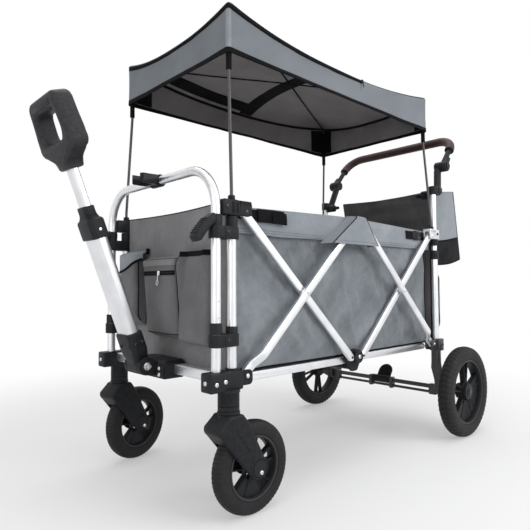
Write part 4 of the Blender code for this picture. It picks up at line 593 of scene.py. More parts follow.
bolt_head = [(0, 0.0372), (0.006, 0.0372), (0.0085, 0.0366), (0.0092, 0.0352), (0.0092, 0.0343),
             (0.006, 0.0343)]
pivot_bolt = bolt_head + [(r, -z) for r, z in reversed(bolt_head)]
piece("drawbar_pivot_bolt", lathe(pivot_bolt, 32), SCREW_STEEL, "front_frame",
      facing(DRAWBAR_X, 0, DRAWBAR_Z, -1))
screws("saddle_screws", [((SADDLE_FRONT + 0.0005, y, z), (-1, 0, 0)) for y in (-0.047, 0.047)
                         for z in (0.273, 0.286)],
       SCREW_R, "front_frame")

# Hoop
# One aluminium tube bent to a wide hoop over the front wall. Its legs slide in the clamps as the wagon
# folds, and each has two stop collars and a release lever at the top.
HOOP_TOP, HOOP_CORNER = 0.711, 0.088
COLLAR = [(0, 0), (0.0128, 0), (0.0128, 0.0195), (0.012, 0.0215), (0.011, 0.0222), (0, 0.0222)]


def bow(half, x):
    """The points of a bow across the wagon, from one half of it given in Y and Z."""
    return [(x, -y, z) for y, z in half] + [(x, y, z) for y, z in reversed(half)]


bend_centre = (POST_Y - HOOP_CORNER, HOOP_TOP - HOOP_CORNER)
half = [(POST_Y, 0.2973), (POST_Y, 0.45)] + arc(bend_centre, HOOP_CORNER, 0, 90, 18)
piece("hoop", round_rod(bow(half, HOOP_X), TUBE_R, 10), ALUMINIUM, "front_carriage", stands_for="hoop_tube")
collars = [(lathe(COLLAR), at(HOOP_X, s * POST_Y, low + CLAMP_HIGH + 0.0004)) for s in (-1, 1)
           for low in CLAMP_LOWS]
piece("hoop_collars", collars, NYLON, "front_carriage")

# Release levers and hoop clip
# Ribbed nylon levers hang at the top of each leg and free the clamps when they are squeezed. A glossy
# nylon clip on the middle of the hoop holds the drawbar's inner tube when it is stowed upright.
LEVER_HANG = radians(46)
LEVER = [(0.006, 0.007), (-0.01, 0.011), (-0.032, 0.0115), (-0.052, 0.0095), (-0.062, 0.006), (-0.064, -0.006),
         (-0.056, -0.01), (-0.04, -0.008), (-0.02, -0.0065), (-0.004, -0.008), (0.006, -0.007)]
for side, s in SIDES:
    hang = seen_from_side(s * POST_Y, HOOP_X - 0.01, 0.603) @ Matrix.Rotation(LEVER_HANG, 4, "Z")
    parts = [(plate(LEVER, 0.024, 0.0032), hang)]
    for i in range(7):
        parts.append((soft_block((-0.0012, -0.0018, -0.0112), (0.0012, 0.0018, 0.0112), 0.0007),
                      hang @ at(-0.016 - 0.0062 * i, 0.0112 - 0.00006 * i * i, 0)))
    parts.append((lathe([(0, 0), (0.0135, 0), (0.0135, 0.013), (0.0128, 0.0142), (0, 0.0142)]),
                  at(HOOP_X, s * POST_Y, 0.593)))
    piece("release_lever_" + side, parts, NYLON, "front_carriage")
    screws("hoop_rivets_" + side, [((HOOP_X - 0.0002, s * (POST_Y + 0.0098), z), (0, s, 0))
                                   for z in (0.405, 0.437)],
           0.0022, "front_carriage")

CLIP_GAP = 0.0165
CLIP_TIP = DRAWBAR_X - 0.01
clip_back = HOOP_X - 0.012
prong = ([(clip_back, -CLIP_GAP - 0.007)] + arc((CLIP_TIP + 0.006, -CLIP_GAP - 0.003), 0.004, 270, 180, 4)
         + [(CLIP_TIP - 0.001, -CLIP_GAP - 0.001), (CLIP_TIP + 0.004, -CLIP_GAP),
            (clip_back - 0.012, -CLIP_GAP)])
clip_outline = (prong + arc((clip_back - 0.012, -CLIP_GAP + 0.004), 0.004, 270, 360, 4)[1:]
                + arc((clip_back - 0.012, CLIP_GAP - 0.004), 0.004, 0, 90, 4)
                + [(x, -y) for x, y in reversed(prong)])
clip = [(plate(circle((0, 0), 0.0145), 0.036, 0.0018, [circle((0, 0), 0.0101)]),
         seen_from_side(0, HOOP_X, HOOP_TOP)),
        (plate(clip_outline, 0.022, 0.0022), at(0, 0, HOOP_TOP)),
        (plate(stadium(0.018, 0.005), 0.007, 0.0015), at(HOOP_X - 0.009, 0, HOOP_TOP + 0.0125))]
piece("hoop_clip_jaws", clip, GLOSSY_NYLON, "front_carriage", stands_for="hoop_clip")

# Front top brackets
# Moulded brackets bolted to the hoop's legs. Each has a slotted ear for the upper end of the inner arm
# and a ribbed boss that takes the foot of a canopy pole.
TOP_LOW, TOP_HIGH, TOP_EAR = 0.6115, 0.643, 0.6325
for side, s in SIDES:
    boss = [(0, TOP_LOW + 0.001), (0.0145, TOP_LOW + 0.001), (0.0145, TOP_HIGH - 0.001), (0.0138, TOP_HIGH),
            (0.008, TOP_HIGH + 0.0005), (0.0072, TOP_HIGH + 0.0095), (0.0064, TOP_HIGH + 0.0105),
            (0, TOP_HIGH + 0.0105)]
    parts = [ear_block(s, HOOP_X + 0.0115, 0.0165, TOP_LOW, TOP_HIGH, 0.002),
             ear_block(s, 0.01, PIN_INSET + 0.013, TOP_EAR, TOP_HIGH, 0.002),
             *ear_cheeks(s, 0.012, PIN_INSET + 0.014, TOP_LOW, TOP_HIGH - 0.001, 0.007),
             (lathe(boss), at(0, s * POST_Y, 0))]
    for i in range(5):
        parts.append(side_block(s, -0.0075 + 0.0034 * i, -0.0061 + 0.0034 * i, POST_Y + 0.012, POST_Y + 0.0152,
                                TOP_LOW + 0.004, TOP_HIGH - 0.004, 0.0005))
    piece("front_top_bracket_body_" + side, parts, NYLON, "front_carriage",
          stands_for="front_top_bracket_" + side)
    screws("front_top_bracket_screws_" + side, [((HOOP_X + 0.02, s * (POST_Y + EAR_HALF), 0.628), (0, s, 0))],
           SCREW_R, "front_carriage", DARK_SCREW)
    piece("front_top_bracket_pin_" + side, arm_pin(s, PIN_INSET, UPPER_PIN_Z), DARK_SCREW, "front_carriage")

# Scissor arms
# Flattened aluminium tubes, 20 by 12 mm, two crossing pairs on each side. The outer arms are joggled at
# their lower ends, so that both layers meet the hubs in one plane. Steel rivets join each crossing.
POST_PITCH = 0.839
MIDDLE_X = POST_PITCH / 2
CENTRE_PIN = 0.025
ARM_WIDE, ARM_THICK, ARM_LAYER, ARM_CORNER = 0.02, 0.012, 0.015, 0.0042
JOGGLE_START, JOGGLE_END = 0.022, 0.062
ARM_LENGTH = hypot(MIDDLE_X - CENTRE_PIN - PIN_INSET, UPPER_PIN_Z - LOWER_PIN_Z)


def arm_mesh(joggled):
    """A bar with round ends and soft edges along X; joggled, it steps outwards past its first pin."""
    radius, half = ARM_WIDE / 2, ARM_THICK / 2
    spine = [-radius * cos(radians(a)) for a in range(0, 91, 9)]
    spine += [JOGGLE_START + (JOGGLE_END - JOGGLE_START) * i / 12 for i in range(13)]
    spine += [JOGGLE_END + (ARM_LENGTH - JOGGLE_END) * i / 8 for i in range(1, 9)]
    spine += [ARM_LENGTH + radius * sin(radians(a)) for a in range(9, 91, 9)]
    rings = []
    for x in spine:
        beyond = max(0, -x, x - ARM_LENGTH)
        wide = max((radius ** 2 - beyond ** 2) ** 0.5 if beyond < radius else 0, 0.0004)
        step = min(max((x - JOGGLE_START) / (JOGGLE_END - JOGGLE_START), 0), 1)
        lift = ARM_LAYER * (1 - cos(pi * step)) / 2 if joggled else 0
        section = soft_rectangle(-wide, -half, wide, half, min(ARM_CORNER, wide * 0.98), 4)
        rings.append([(x, y, z + lift) for y, z in section])
    return lofted(rings)


ARM_ALUMINIUM = anodised("arm_aluminium", (0.72, 0.73, 0.75), (0.84, 0.85, 0.87), (0.36, 0.5), 0.00002,
                         Across=500.0, Along=500.0)
CROSSING_RIVET = [(0, -0.0063), (0.003, -0.0063), (0.003, 0.0063), (0.0068, 0.0063), (0.0068, 0.0092),
                  (0.003, 0.0092), (0.003, 0.0212), (0.0052, 0.0212), (0.005, 0.0224), (0.0032, 0.0232),
                  (0, 0.0234)]
for side, s in SIDES:
    for end, post_x, ahead in (("front", 0.0, 1), ("rear", POST_PITCH, -1)):
        pin_x, hub_x = post_x + ahead * PIN_INSET, MIDDLE_X - ahead * CENTRE_PIN
        for layer, pin_z, far_z in (("inner", UPPER_PIN_Z, LOWER_PIN_Z), ("outer", LOWER_PIN_Z, UPPER_PIN_Z)):
            place = axes((pin_x, s * POST_Y, pin_z), (hub_x - pin_x, 0, far_z - pin_z), (0, s, 0))
            piece(f"{end}_{layer}_arm_tube_{side}", arm_mesh(layer == "outer"), ARM_ALUMINIUM,
                  f"{end}_{layer}_arms", place, stands_for=f"{end}_{layer}_arm_{side}")
        piece(f"{end}_crossing_rivet_{side}", lathe(CROSSING_RIVET, 28), SCREW_STEEL, end + "_outer_arms",
              place @ at(ARM_LENGTH / 2, 0, 0))

# Centre hubs and beam
# Black nylon hubs hold the lower ends of the four middle arms, with a cap and a bright bolt on each. A
# tube under the floor joins the two hubs and carries the narrow middle slat.
BEAM_Z, BEAM_R, BEAM_END = 0.2547, 0.009, 0.2135
HUB_INNER, HUB_THICK = 0.2095, 0.0077
beam = [(lathe([(0, -BEAM_END), (BEAM_R, -BEAM_END), (BEAM_R, BEAM_END), (0, BEAM_END)], 40),
         facing(MIDDLE_X, 0, BEAM_Z, 1)),
        soft_block((MIDDLE_X - 0.061, -0.186, BEAM_Z + BEAM_R - 0.002), (MIDDLE_X + 0.061, 0.186, 0.2735),
                   0.0012)]
lobes = (arc((CENTRE_PIN, 0.001), 0.0135, -70, 90, 12) + arc((0, -0.01), 0.029, 62, 118, 8)
         + arc((-CENTRE_PIN, 0.001), 0.0135, 90, 250, 12) + arc((-0.006, BEAM_Z - LOWER_PIN_Z), 0.0115, 200,
                                                                270, 5)
         + arc((0.006, BEAM_Z - LOWER_PIN_Z), 0.0115, 270, 340, 5))
hub_foot = HUB_INNER + HUB_THICK - 0.002
HUB_BOSS = [(0, hub_foot), (0.0145, hub_foot), (0.0145, 0.2295), (0.0158, 0.2303), (0.017, 0.2312),
            (0.017, 0.2326), (0.0162, 0.2336), (0.011, 0.234), (0.0095, 0.2333), (0, 0.2333)]
for s in (-1, 1):
    turn = facing(MIDDLE_X, 0, LOWER_PIN_Z, s)
    beam += [(plate(lobes, HUB_THICK, 0.0018), seen_from_side(s * (HUB_INNER + HUB_THICK / 2), MIDDLE_X,
                                                              LOWER_PIN_Z)),
             (lathe(HUB_BOSS, 48), turn)]
    for end in (-1, 1):
        beam.append((lathe([(0, hub_foot), (PIN_R, hub_foot), (PIN_R, 0.2305), (0, 0.2305)], 16),
                     at(end * CENTRE_PIN, 0, 0) @ turn))
piece("centre_hubs_and_beam", beam, NYLON, "centre_bottom", stands_for="centre_beam")
screws("centre_bolts", [((MIDDLE_X, s * 0.2332, LOWER_PIN_Z), (0, s, 0)) for s in (-1, 1)], 0.0056,
       "centre_bottom")
LINK_PIN = [(0, 0.2305), (0.003, 0.2305), (0.003, 0.2446), (0.005, 0.2448), (0.0046, 0.2458), (0, 0.246)]
for side, s in SIDES:
    parts = [(plate(stadium(2 * CENTRE_PIN, 0.011), 0.006, 0.0015),
              seen_from_side(s * 0.2292, MIDDLE_X - CENTRE_PIN, UPPER_PIN_Z))]
    parts += [(lathe(LINK_PIN, 20), facing(MIDDLE_X + end * CENTRE_PIN, 0, UPPER_PIN_Z, s)) for end in (-1, 1)]
    piece("upper_link_" + side, parts, NYLON, "centre_top", stands_for="top_link_" + side)

# Folding floor
# Two boards of black-faced hardboard, each screwed between a pair of aluminium rails that hinge at the
# corner brackets. They lie level when the wagon is open and swing up as it folds.
RAIL_HIGH, RAIL_THICK, BOARD_HALF = 0.018, 0.01, 0.0035
RAIL_REACH = MIDDLE_X - PIN_INSET - 0.006
BOARD_FACE = blotched("board_face", "floor_board", (0.018, 0.018, 0.02), (0.036, 0.036, 0.038), (0.55, 0.75),
                      6.0, pitch=420.0, depth=0.0003)
outline = arc((0, 0), RAIL_HIGH / 2, 90, 270, 16) + [(RAIL_REACH, -RAIL_HIGH / 2), (RAIL_REACH, RAIL_HIGH / 2)]
for end, pivot_x, towards, rail_y in (("front", PIN_INSET, 1, 0.203),
                                      ("rear", POST_PITCH - PIN_INSET, -1, 0.1925)):
    near, far = sorted((pivot_x + towards * 0.014, MIDDLE_X - towards * 0.064))
    half_wide = rail_y - RAIL_THICK / 2 + 0.002
    board = soft_block((near, -half_wide, RAIL_Z - BOARD_HALF), (far, half_wide, RAIL_Z + BOARD_HALF), 0.0008)
    piece(end + "_floor_board", board, BOARD_FACE, "floor_" + end, stands_for=end + "_floor_panel")
    rails = [(plate(outline, RAIL_THICK, 0.0012, [circle((0, 0), 0.0033, 24)]),
              axes((pivot_x, s * rail_y, RAIL_Z), (towards, 0, 0), (0, -towards, 0))) for s in (-1, 1)]
    piece(end + "_floor_rails", rails, ALUMINIUM, "floor_" + end)
    heads = [((pivot_x + towards * d, s * (rail_y - 0.014), RAIL_Z + 0.0032), (0, 0, 1))
             for s in (-1, 1) for d in (0.05, 0.17, 0.29)]
    screws(end + "_floor_screws", heads, 0.004, "floor_" + end)

# Rear posts and upper tubes
# Two shorter aluminium tubes stand on the axle frame, each with a nylon lock collar and its small lever.
# Thinner tubes slide in them and carry silver die-cast brackets for the arms and the rear canopy poles.
DIE_CAST = blotched("die_cast_silver", "aluminium", (0.62, 0.63, 0.65), (0.74, 0.75, 0.77), (0.34, 0.48), 60.0,
                    pitch=1200.0, depth=0.00005, Metallic=0.85)
LOCK_LOW = 0.548
REAR_PIN = POST_PITCH - PIN_INSET
LOCK = [(0.0089, 0), (0.012, 0), (0.0128, 0.001), (0.0128, 0.01), (0.0122, 0.0108), (0.0128, 0.0116),
        (0.0128, 0.0268), (0.012, 0.028), (0.0089, 0.028)]
for side, s in SIDES:
    y = s * POST_Y
    piece("rear_post_tube_" + side, round_rod([(POST_PITCH, y, 0.2643), (POST_PITCH, y, 0.56)], TUBE_R, 10),
          ALUMINIUM, "rear_frame", stands_for="rear_post_" + side)
    piece("rear_lock_collar_" + side, [(lathe(LOCK), at(POST_PITCH, y, LOCK_LOW)),
                                       side_block(s, POST_PITCH + 0.0098, POST_PITCH + 0.0198, POST_Y - 0.005,
                                                  POST_Y + 0.005, LOCK_LOW - 0.006, LOCK_LOW + 0.02, 0.0022)],
          NYLON, "rear_frame")
    piece("rear_sliding_tube_" + side, round_rod([(POST_PITCH, y, 0.38), (POST_PITCH, y, 0.779)], 0.0085, 8),
          ALUMINIUM, "rear_carriage", stands_for="rear_upper_tube_" + side)
    parts = [ear_block(s, POST_PITCH - 0.017, POST_PITCH + 0.0125, TOP_LOW, TOP_HIGH, 0.003),
             ear_block(s, REAR_PIN - 0.013, POST_PITCH - 0.01, TOP_EAR, TOP_HIGH, 0.002),
             *ear_cheeks(s, REAR_PIN - 0.014, POST_PITCH - 0.012, TOP_LOW, TOP_HIGH - 0.001, 0.007)]
    piece("rear_cast_bracket_" + side, parts, DIE_CAST, "rear_carriage")
    sleeve = lathe([(0, 0), (0.0112, 0), (0.0118, 0.001), (0.0118, 0.022), (0, 0.022)])
    pole_boss = lathe([(0, 0), (0.0072, 0), (0.0072, 0.008), (0.0062, 0.0092), (0, 0.0092)], 32)
    piece("rear_bracket_sleeves_" + side, [(sleeve, at(POST_PITCH, y, TOP_LOW - 0.02)),
                                           (pole_boss, at(POST_PITCH - 0.017, y, TOP_HIGH - 0.001))],
          NYLON, "rear_carriage")
    screws("rear_bracket_screw_" + side, [((POST_PITCH - 0.002, s * (POST_Y + 0.0128), 0.628), (0, s, 0))],
           0.0044, "rear_carriage", DARK_SCREW)
    piece("rear_bracket_pin_" + side, arm_pin(s, REAR_PIN, UPPER_PIN_Z), SCREW_STEEL, "rear_carriage")

# Rear axle frame and brake
# Powder-coated steel: a forked leg under each post, the axle rod, and a thinner rod below it that carries
# the brake pawls. Two clamps hold the moulded foot pedal, which tips about the axle.
POWDER = blotched("powder_coat_black", "black_steel", (0.011, 0.0115, 0.013), (0.05, 0.05, 0.055), (0.26, 0.4),
                  30.0, "Rub", 380.0, 0.0001, Metallic=0.25)
AXLE_X, AXLE_Z = 0.869, 0.137
BRACKET_FOOT = BRACKET_LOW + 0.004
LEG = ([(POST_PITCH - 0.0112, BRACKET_FOOT), (POST_PITCH - 0.0118, 0.224), (POST_PITCH - 0.014, 0.205),
        (AXLE_X - 0.026, 0.165)] + arc((AXLE_X, AXLE_Z - 0.004), 0.02, 200, 350, 20)
       + [(AXLE_X + 0.014, 0.165), (POST_PITCH + 0.016, 0.205), (POST_PITCH + 0.0118, 0.224),
          (POST_PITCH + 0.0112, BRACKET_FOOT)])
LEG_HUB = [(0, 0.211), (0.015, 0.211), (0.0165, 0.2125), (0.0165, 0.237), (0.015, 0.2385), (0, 0.2385)]
STUB_AXLE = [(0, 0.225), (0.007, 0.225), (0.007, 0.273), (0.005, 0.273), (0.005, 0.319), (0, 0.319)]
parts = []
pins = []
for s in (-1, 1):
    hub_place = facing(AXLE_X, 0, AXLE_Z, s)
    parts += [side_block(s, POST_PITCH - 0.015, POST_PITCH + 0.015, BRACKET_IN, BRACKET_OUT, BRACKET_LOW,
                         BRACKET_TOP, 0.003),
              ear_block(s, REAR_PIN + 0.011, POST_PITCH - 0.009, EAR_LOW, EAR_LOW + 0.005, 0.001),
              *ear_cheeks(s, REAR_PIN - 0.014, POST_PITCH - 0.008, EAR_LOW, EAR_TOP, 0.01),
              (plate(LEG, 0.024, 0.004), seen_from_side(s * POST_Y)),
              (lathe(LEG_HUB, 40), hub_place), (lathe(STUB_AXLE, 32), hub_place)]
    for clamp_y, half_x, half_y, low, high in ((0.0415, 0.011, 0.006, 0.026, 0.011),
                                               (0.196, 0.01, 0.013, 0.025, 0.009)):
        parts.append(soft_block((AXLE_X - half_x, s * clamp_y - half_y, AXLE_Z - low),
                                (AXLE_X + half_x, s * clamp_y + half_y, AXLE_Z + high), 0.003))
    pins += arm_pin(s, REAR_PIN, LOWER_PIN_Z) + [rail_pin(s, REAR_PIN, 0.186)]
parts.append(round_rod([(AXLE_X, -0.26, AXLE_Z), (AXLE_X, 0.26, AXLE_Z)], 0.007))
parts.append(round_rod([(AXLE_X, -POST_Y, AXLE_Z - 0.018), (AXLE_X, POST_Y, AXLE_Z - 0.018)], 0.0045))
piece("axle_frame", parts, POWDER, "rear_frame", stands_for="rear_axle_frame")
piece("rear_bracket_pins", pins, SCREW_STEEL, "rear_frame")
screws("rear_foot_screws", [((POST_PITCH + x, s * 0.2433, 0.278), (0, s, 0)) for s in (-1, 1)
                            for x in (-0.006, 0.007)],
       0.0038, "rear_frame", DARK_SCREW)
BRAKE_LEAN = radians(35)
slope = Vector((sin(BRAKE_LEAN), 0, cos(BRAKE_LEAN)))
tread_way = Vector((cos(BRAKE_LEAN), 0, -sin(BRAKE_LEAN)))
pedal_place = axes(Vector((AXLE_X, 0, AXLE_Z)) + slope * 0.004 + tread_way * 0.006, ALONG_Y, tread_way)
paddle = [(-0.026, 0.0), (0.026, 0.0)] + arc((0, 0.03), 0.026, 0, 180, 24)
pedal = [(lathe([(0.0073, -0.035), (0.0115, -0.035), (0.0125, -0.034), (0.0125, 0.034), (0.0115, 0.035),
                 (0.0073, 0.035)], 40), facing(AXLE_X, 0, AXLE_Z, 1)),
         (plate(paddle, 0.008, 0.0026), pedal_place)]
for i in range(4):
    for low, high in ((0.0036, 0.005), (-0.005, -0.0036)):
        rib = soft_block((-0.017 + 0.002 * i, -0.0008, low), (0.017 - 0.002 * i, 0.0008, high), 0.0005)
        pedal.append((rib, pedal_place @ at(0, 0.02 + 0.0075 * i, 0)))
piece("foot_pedal", pedal, NYLON, "brake", stands_for="brake_pedal")

# Tyres
# Solid foam rubber with a fine block tread. The rear ones are broad, with shoulder lugs cut right across;
# the front ones have shorter ribs. Each is stretched into the bed of its rim.
RUBBER, tree, shader = new_paint("foam_rubber", "tyre", Specular_IOR_Level=0.2)
marks = place_group(tree, HANDLING, Blotches=26.0, Rub_Start=0.5, Rub_End=0.62)
dusty = mix_colours(tree, spread(tree, marks["Blotch"], 0.0, 0.5), (0.007, 0.0073, 0.0082),
                    (0.0115, 0.012, 0.0132))
lay_on(tree, shader, mix_colours(tree, marks["Rub"], dusty, (0.022, 0.022, 0.023)),
       spread(tree, marks["Blotch"], 0.55, 0.72), place_group(tree, GRAIN, Pitch=520.0)[0], 0.00022)
TYRE_SHAPE = ((0, 0.36), (0.04, 0.42), (0.1, 0.43), (0.13, 0.46), (0.3, 0.495), (0.48, 0.5), (0.66, 0.485),
              (0.8, 0.44), (0.89, 0.375), (0.95, 0.29), (0.985, 0.19), (1, 0.08))


def tyre_mesh(radius, bed, width, blocks, groove, slant):
    """A tyre turned about Z, its tread cut into blocks by slanting grooves."""
    deep = radius - bed
    half = [(bed + depth * deep, share * width) for depth, share in TYRE_SHAPE]
    steps = blocks * 6
    rings = []
    for r, z in half + [(r, -z) for r, z in reversed(half)]:
        ring = []
        for i in range(steps):
            phase = (i / 6 + slant * abs(z) / width) % 1.0
            in_tread = r > bed + 0.7 * deep and abs(z) > 0.035 * width
            cut = groove if in_tread and phase < 0.3 else 0.0
            if abs(abs(z) - 0.19 * width) < 0.02 * width:
                cut = max(cut, groove * 0.6)
            turn = 2 * pi * i / steps
            ring.append(((r - cut) * cos(turn), (r - cut) * sin(turn), z))
        rings.append(ring)
    return lofted(rings, True)


TRAIL, FRONT_R, FRONT_BED, FRONT_WIDE = 0.058, 0.095, 0.0643, 0.034
REAR_R, REAR_BED, REAR_WIDE, REAR_Y = 0.137, 0.0963, 0.042, 0.297
STEER = {"left": 0.0, "right": radians(13)}
swivels = {side: at(CASTER_X, s * CASTER_Y, 0) @ Matrix.Rotation(STEER[side], 4, "Z") for side, s in SIDES}
for side, s in SIDES:
    piece("front_tyre_tread_" + side, tyre_mesh(FRONT_R, FRONT_BED, FRONT_WIDE, 64, 0.001, 0.8), RUBBER,
          "front_wheel_" + side, swivels[side] @ facing(TRAIL, 0, FRONT_R, -1), 28, "front_tyre_" + side)
    piece("rear_tyre_tread_" + side, tyre_mesh(REAR_R, REAR_BED, REAR_WIDE, 54, 0.002, 0.9), RUBBER,
          "rear_wheel_" + side, facing(AXLE_X, s * REAR_Y, AXLE_Z, -s), 28, "rear_tyre_" + side)

# Rims
# Black nylon wheels with five twin spokes. Each spoke carries a raised rib on both faces, the rim's lip is a
# thin ring painted lighter than the rim as a painted highlight, and a domed cap closes the hub.
# Painted highlight: the lip's nylon is lighter than the rim's, standing for the light along its edge.
LIP_HIGHLIGHT_NYLON = moulded("rim_lip_painted_highlight", (0.018, 0.0186, 0.021), (0.05, 0.05, 0.056), (0.24, 0.36), 700.0, 0.00005)
SPOKES = 5


def rounded(corners, radius, count=4):
    """A polygon with its corners rounded."""
    made = []
    for before, corner, after in zip(corners[-1:] + corners[:-1], corners, corners[1:] + corners[:1]):
        corner = Vector(corner)
        back, on = Vector(before) - corner, Vector(after) - corner
        reach = min(radius, back.length * 0.45, on.length * 0.45)
        first, last = corner + back.normalized() * reach, corner + on.normalized() * reach
        for i in range(count + 1):
            t = i / count
            made.append(tuple(first * (1 - t) ** 2 + corner * 2 * t * (1 - t) + last * t ** 2))
    return made


def polar(radius, angle):
    """A point at an angle in degrees."""
    return radius * cos(radians(angle)), radius * sin(radians(angle))


def window(middle, half_in, half_out, inner, outer):
    """A rounded opening between two spokes, its half angles given at its inner and outer ends."""
    outer_side = [polar(outer, middle + half_out * (1 - i / 4)) for i in range(9)]
    return rounded([polar(inner, middle - half_in), *reversed(outer_side), polar(inner, middle + half_in)],
                   0.003)


def rim_meshes(bed, width, hub, pair, spoke, slit, lip):
    """The parts of a rim with five twin spokes, and those of its lips."""
    opening, inner, deep = bed - 0.0042, hub + 0.007, width / 2
    lean_in, lean_out, lean_slit = (degrees(spoke / 2 / r) for r in (inner, opening, slit))
    windows = []
    for start in range(90, 90 + 360, 360 // SPOKES):
        windows.append(window(start + 36, 36 - pair - lean_in, 36 - pair - lean_out, inner, opening))
        windows.append(window(start, pair - lean_slit, pair - lean_out, slit, opening))
    parts = [plate(circle((0, 0), bed - 0.0025, 90), width * 0.46, 0.002, windows),
             lathe([(bed - 0.0003, -deep), (bed - 0.0003, deep), (bed - 0.0042, deep),
                    (bed - 0.0062, deep - 0.004), (bed - 0.0068, 0), (bed - 0.0062, -deep + 0.004),
                    (bed - 0.0042, -deep)], 90),
             lathe([(0.0053, -deep - 0.002), (hub - 0.001, -deep - 0.002), (hub, -deep - 0.001),
                    (hub, deep + 0.001), (hub - 0.001, deep + 0.002), (0.0053, deep + 0.002)], 48)]
    lips = []
    for face, flip in ((-1, Matrix.Rotation(pi, 4, "X")), (1, Matrix())):
        for start in range(90, 90 + 360, 360 // SPOKES):
            for lean in (-pair, pair):
                rib = soft_block((hub - 0.002, -0.0011, -0.001), (bed - 0.006, 0.0011, 0.0016), 0.0007)
                turn = Matrix.Rotation(radians(start + lean), 4, "Z")
                parts.append((rib, turn @ at(0, 0, face * width * 0.23) @ flip))
        ring = lathe([(bed + 0.0006, 0), (bed + 0.0003, lip), (bed - 0.0012, lip + 0.0006), (bed - 0.0034, lip),
                      (bed - 0.004, 0)], 90)
        lips.append((ring, at(0, 0, face * (deep - 0.0004)) @ flip))
    return parts, lips


HUB_CAP = [(0, 0.0205), (0.008, 0.0202), (0.015, 0.0192), (0.0195, 0.0176), (0.021, 0.0158), (0.021, 0.0135),
           (0, 0.0135)]
for side, s in SIDES:
    rear_place = facing(AXLE_X, s * REAR_Y, AXLE_Z, s)
    for end, place, sizes in (("front", swivels[side] @ facing(TRAIL, 0, FRONT_R, -1),
                               (FRONT_BED, 0.027, 0.014, 13, 0.006, 0.028, 0.0016)),
                              ("rear", rear_place, (REAR_BED, 0.031, 0.024, 9, 0.0056, 0.04, 0.002))):
        spokes, lips = rim_meshes(*sizes)
        piece(f"{end}_spoked_rim_{side}", spokes, NYLON, f"{end}_wheel_{side}", place,
              stands_for=f"{end}_rim_{side}")
        piece(f"{end}_rim_lip_highlights_{side}", lips, LIP_HIGHLIGHT_NYLON, f"{end}_wheel_{side}", place)
    piece("rear_hub_cap_" + side, lathe(HUB_CAP, 48), GLOSSY_NYLON, "rear_wheel_" + side, rear_place)

# Caster forks
# Moulded nylon forks that swivel under the brackets: a short neck, broad shoulders, two deep legs and a
# round cover over each end of the axle, with the bright head of the axle screw.
FORK_GAP, FORK_LEG = 0.041, 0.0075
FORK_HALF = FORK_GAP / 2 + FORK_LEG
NECK_Z = 0.219
HUB_SPOT = (TRAIL, FRONT_R + 0.003)
FORK = (arc((-0.0135, NECK_Z - 0.015), 0.009, 90, 150, 5) + arc((-0.03, 0.185), 0.0135, 150, 235, 8)
        + arc(HUB_SPOT, 0.024, 215, 400, 30) + arc((0.02, 0.18), 0.019, 10, 45, 5)
        + arc((0.0135, NECK_Z - 0.015), 0.009, 30, 90, 5))
FORK_NECK = [(0, 0.192), (0.0232, 0.192), (0.0232, 0.212), (0.0222, 0.2128), (0.0222, 0.214), (0.0232, 0.2148),
             (0.0232, 0.2172), (0.022, 0.2187), (0, 0.2187)]
AXLE_COVER = [(0, 0), (0.0222, 0), (0.0222, 0.0012), (0.0212, 0.0026), (0.0196, 0.003), (0.0188, 0.0022),
              (0.0176, 0.0022), (0.0168, 0.0032), (0, 0.0038)]


def placed(mesh, place):
    """The mesh moved to its place."""
    mesh.transform(place)
    return mesh


def carved(mesh, *cutters):
    """The mesh with the cutters' volumes taken out."""
    shapes = [new_object("shape", shape) for shape in (mesh, *cutters)]
    for cutter in shapes[1:]:
        step = shapes[0].modifiers.new("cut", "BOOLEAN")
        step.operation, step.solver, step.object = "DIFFERENCE", "EXACT", cutter
    bpy.context.view_layer.update()
    made = bpy.data.meshes.new_from_object(shapes[0].evaluated_get(bpy.context.evaluated_depsgraph_get()))
    for shape in shapes:
        bpy.data.objects.remove(shape)
    return made


for side, s in SIDES:
    swivel = swivels[side]
    well = lathe([(0, -FORK_GAP / 2), (FRONT_R + 0.006, -FORK_GAP / 2), (FRONT_R + 0.006, FORK_GAP / 2),
                  (0, FORK_GAP / 2)], 96)
    parts = [carved(placed(plate(FORK, 2 * FORK_HALF, 0.0055), seen_from_side(0)),
                    placed(well, facing(TRAIL, 0, FRONT_R, -1))), lathe(FORK_NECK)]
    for face in (-1, 1):
        parts.append((lathe(AXLE_COVER), facing(HUB_SPOT[0], face * (FORK_HALF - 0.0012), HUB_SPOT[1], face)))
        parts.append((plate(stadium(0.052, 0.0052), 0.003, 0.0013),
                      axes((0.004, face * (FORK_HALF - 0.0004), 0.181), (0.62, 0, -0.78), (0, face, 0))))
    piece("caster_fork_shell_" + side, parts, NYLON, "caster_" + side, swivel, 32, "caster_fork_" + side)
    steel = [round_rod([(0, 0, 0.2), (0, 0, 0.249)], 0.006),
             round_rod([(TRAIL, 0.002 - FORK_HALF, FRONT_R), (TRAIL, FORK_HALF - 0.002, FRONT_R)], 0.005)]
    piece("caster_stem_and_axle_" + side, steel, SCREW_STEEL, "caster_" + side, swivel)
    spots = [(swivel @ Vector((TRAIL + 0.003, face * (FORK_HALF + 0.0022), FRONT_R - 0.006)),
              swivel.to_3x3() @ Vector((0, face, 0))) for face in (-1, 1)]
    screws("caster_axle_screws_" + side, spots, SCREW_R, "caster_" + side)

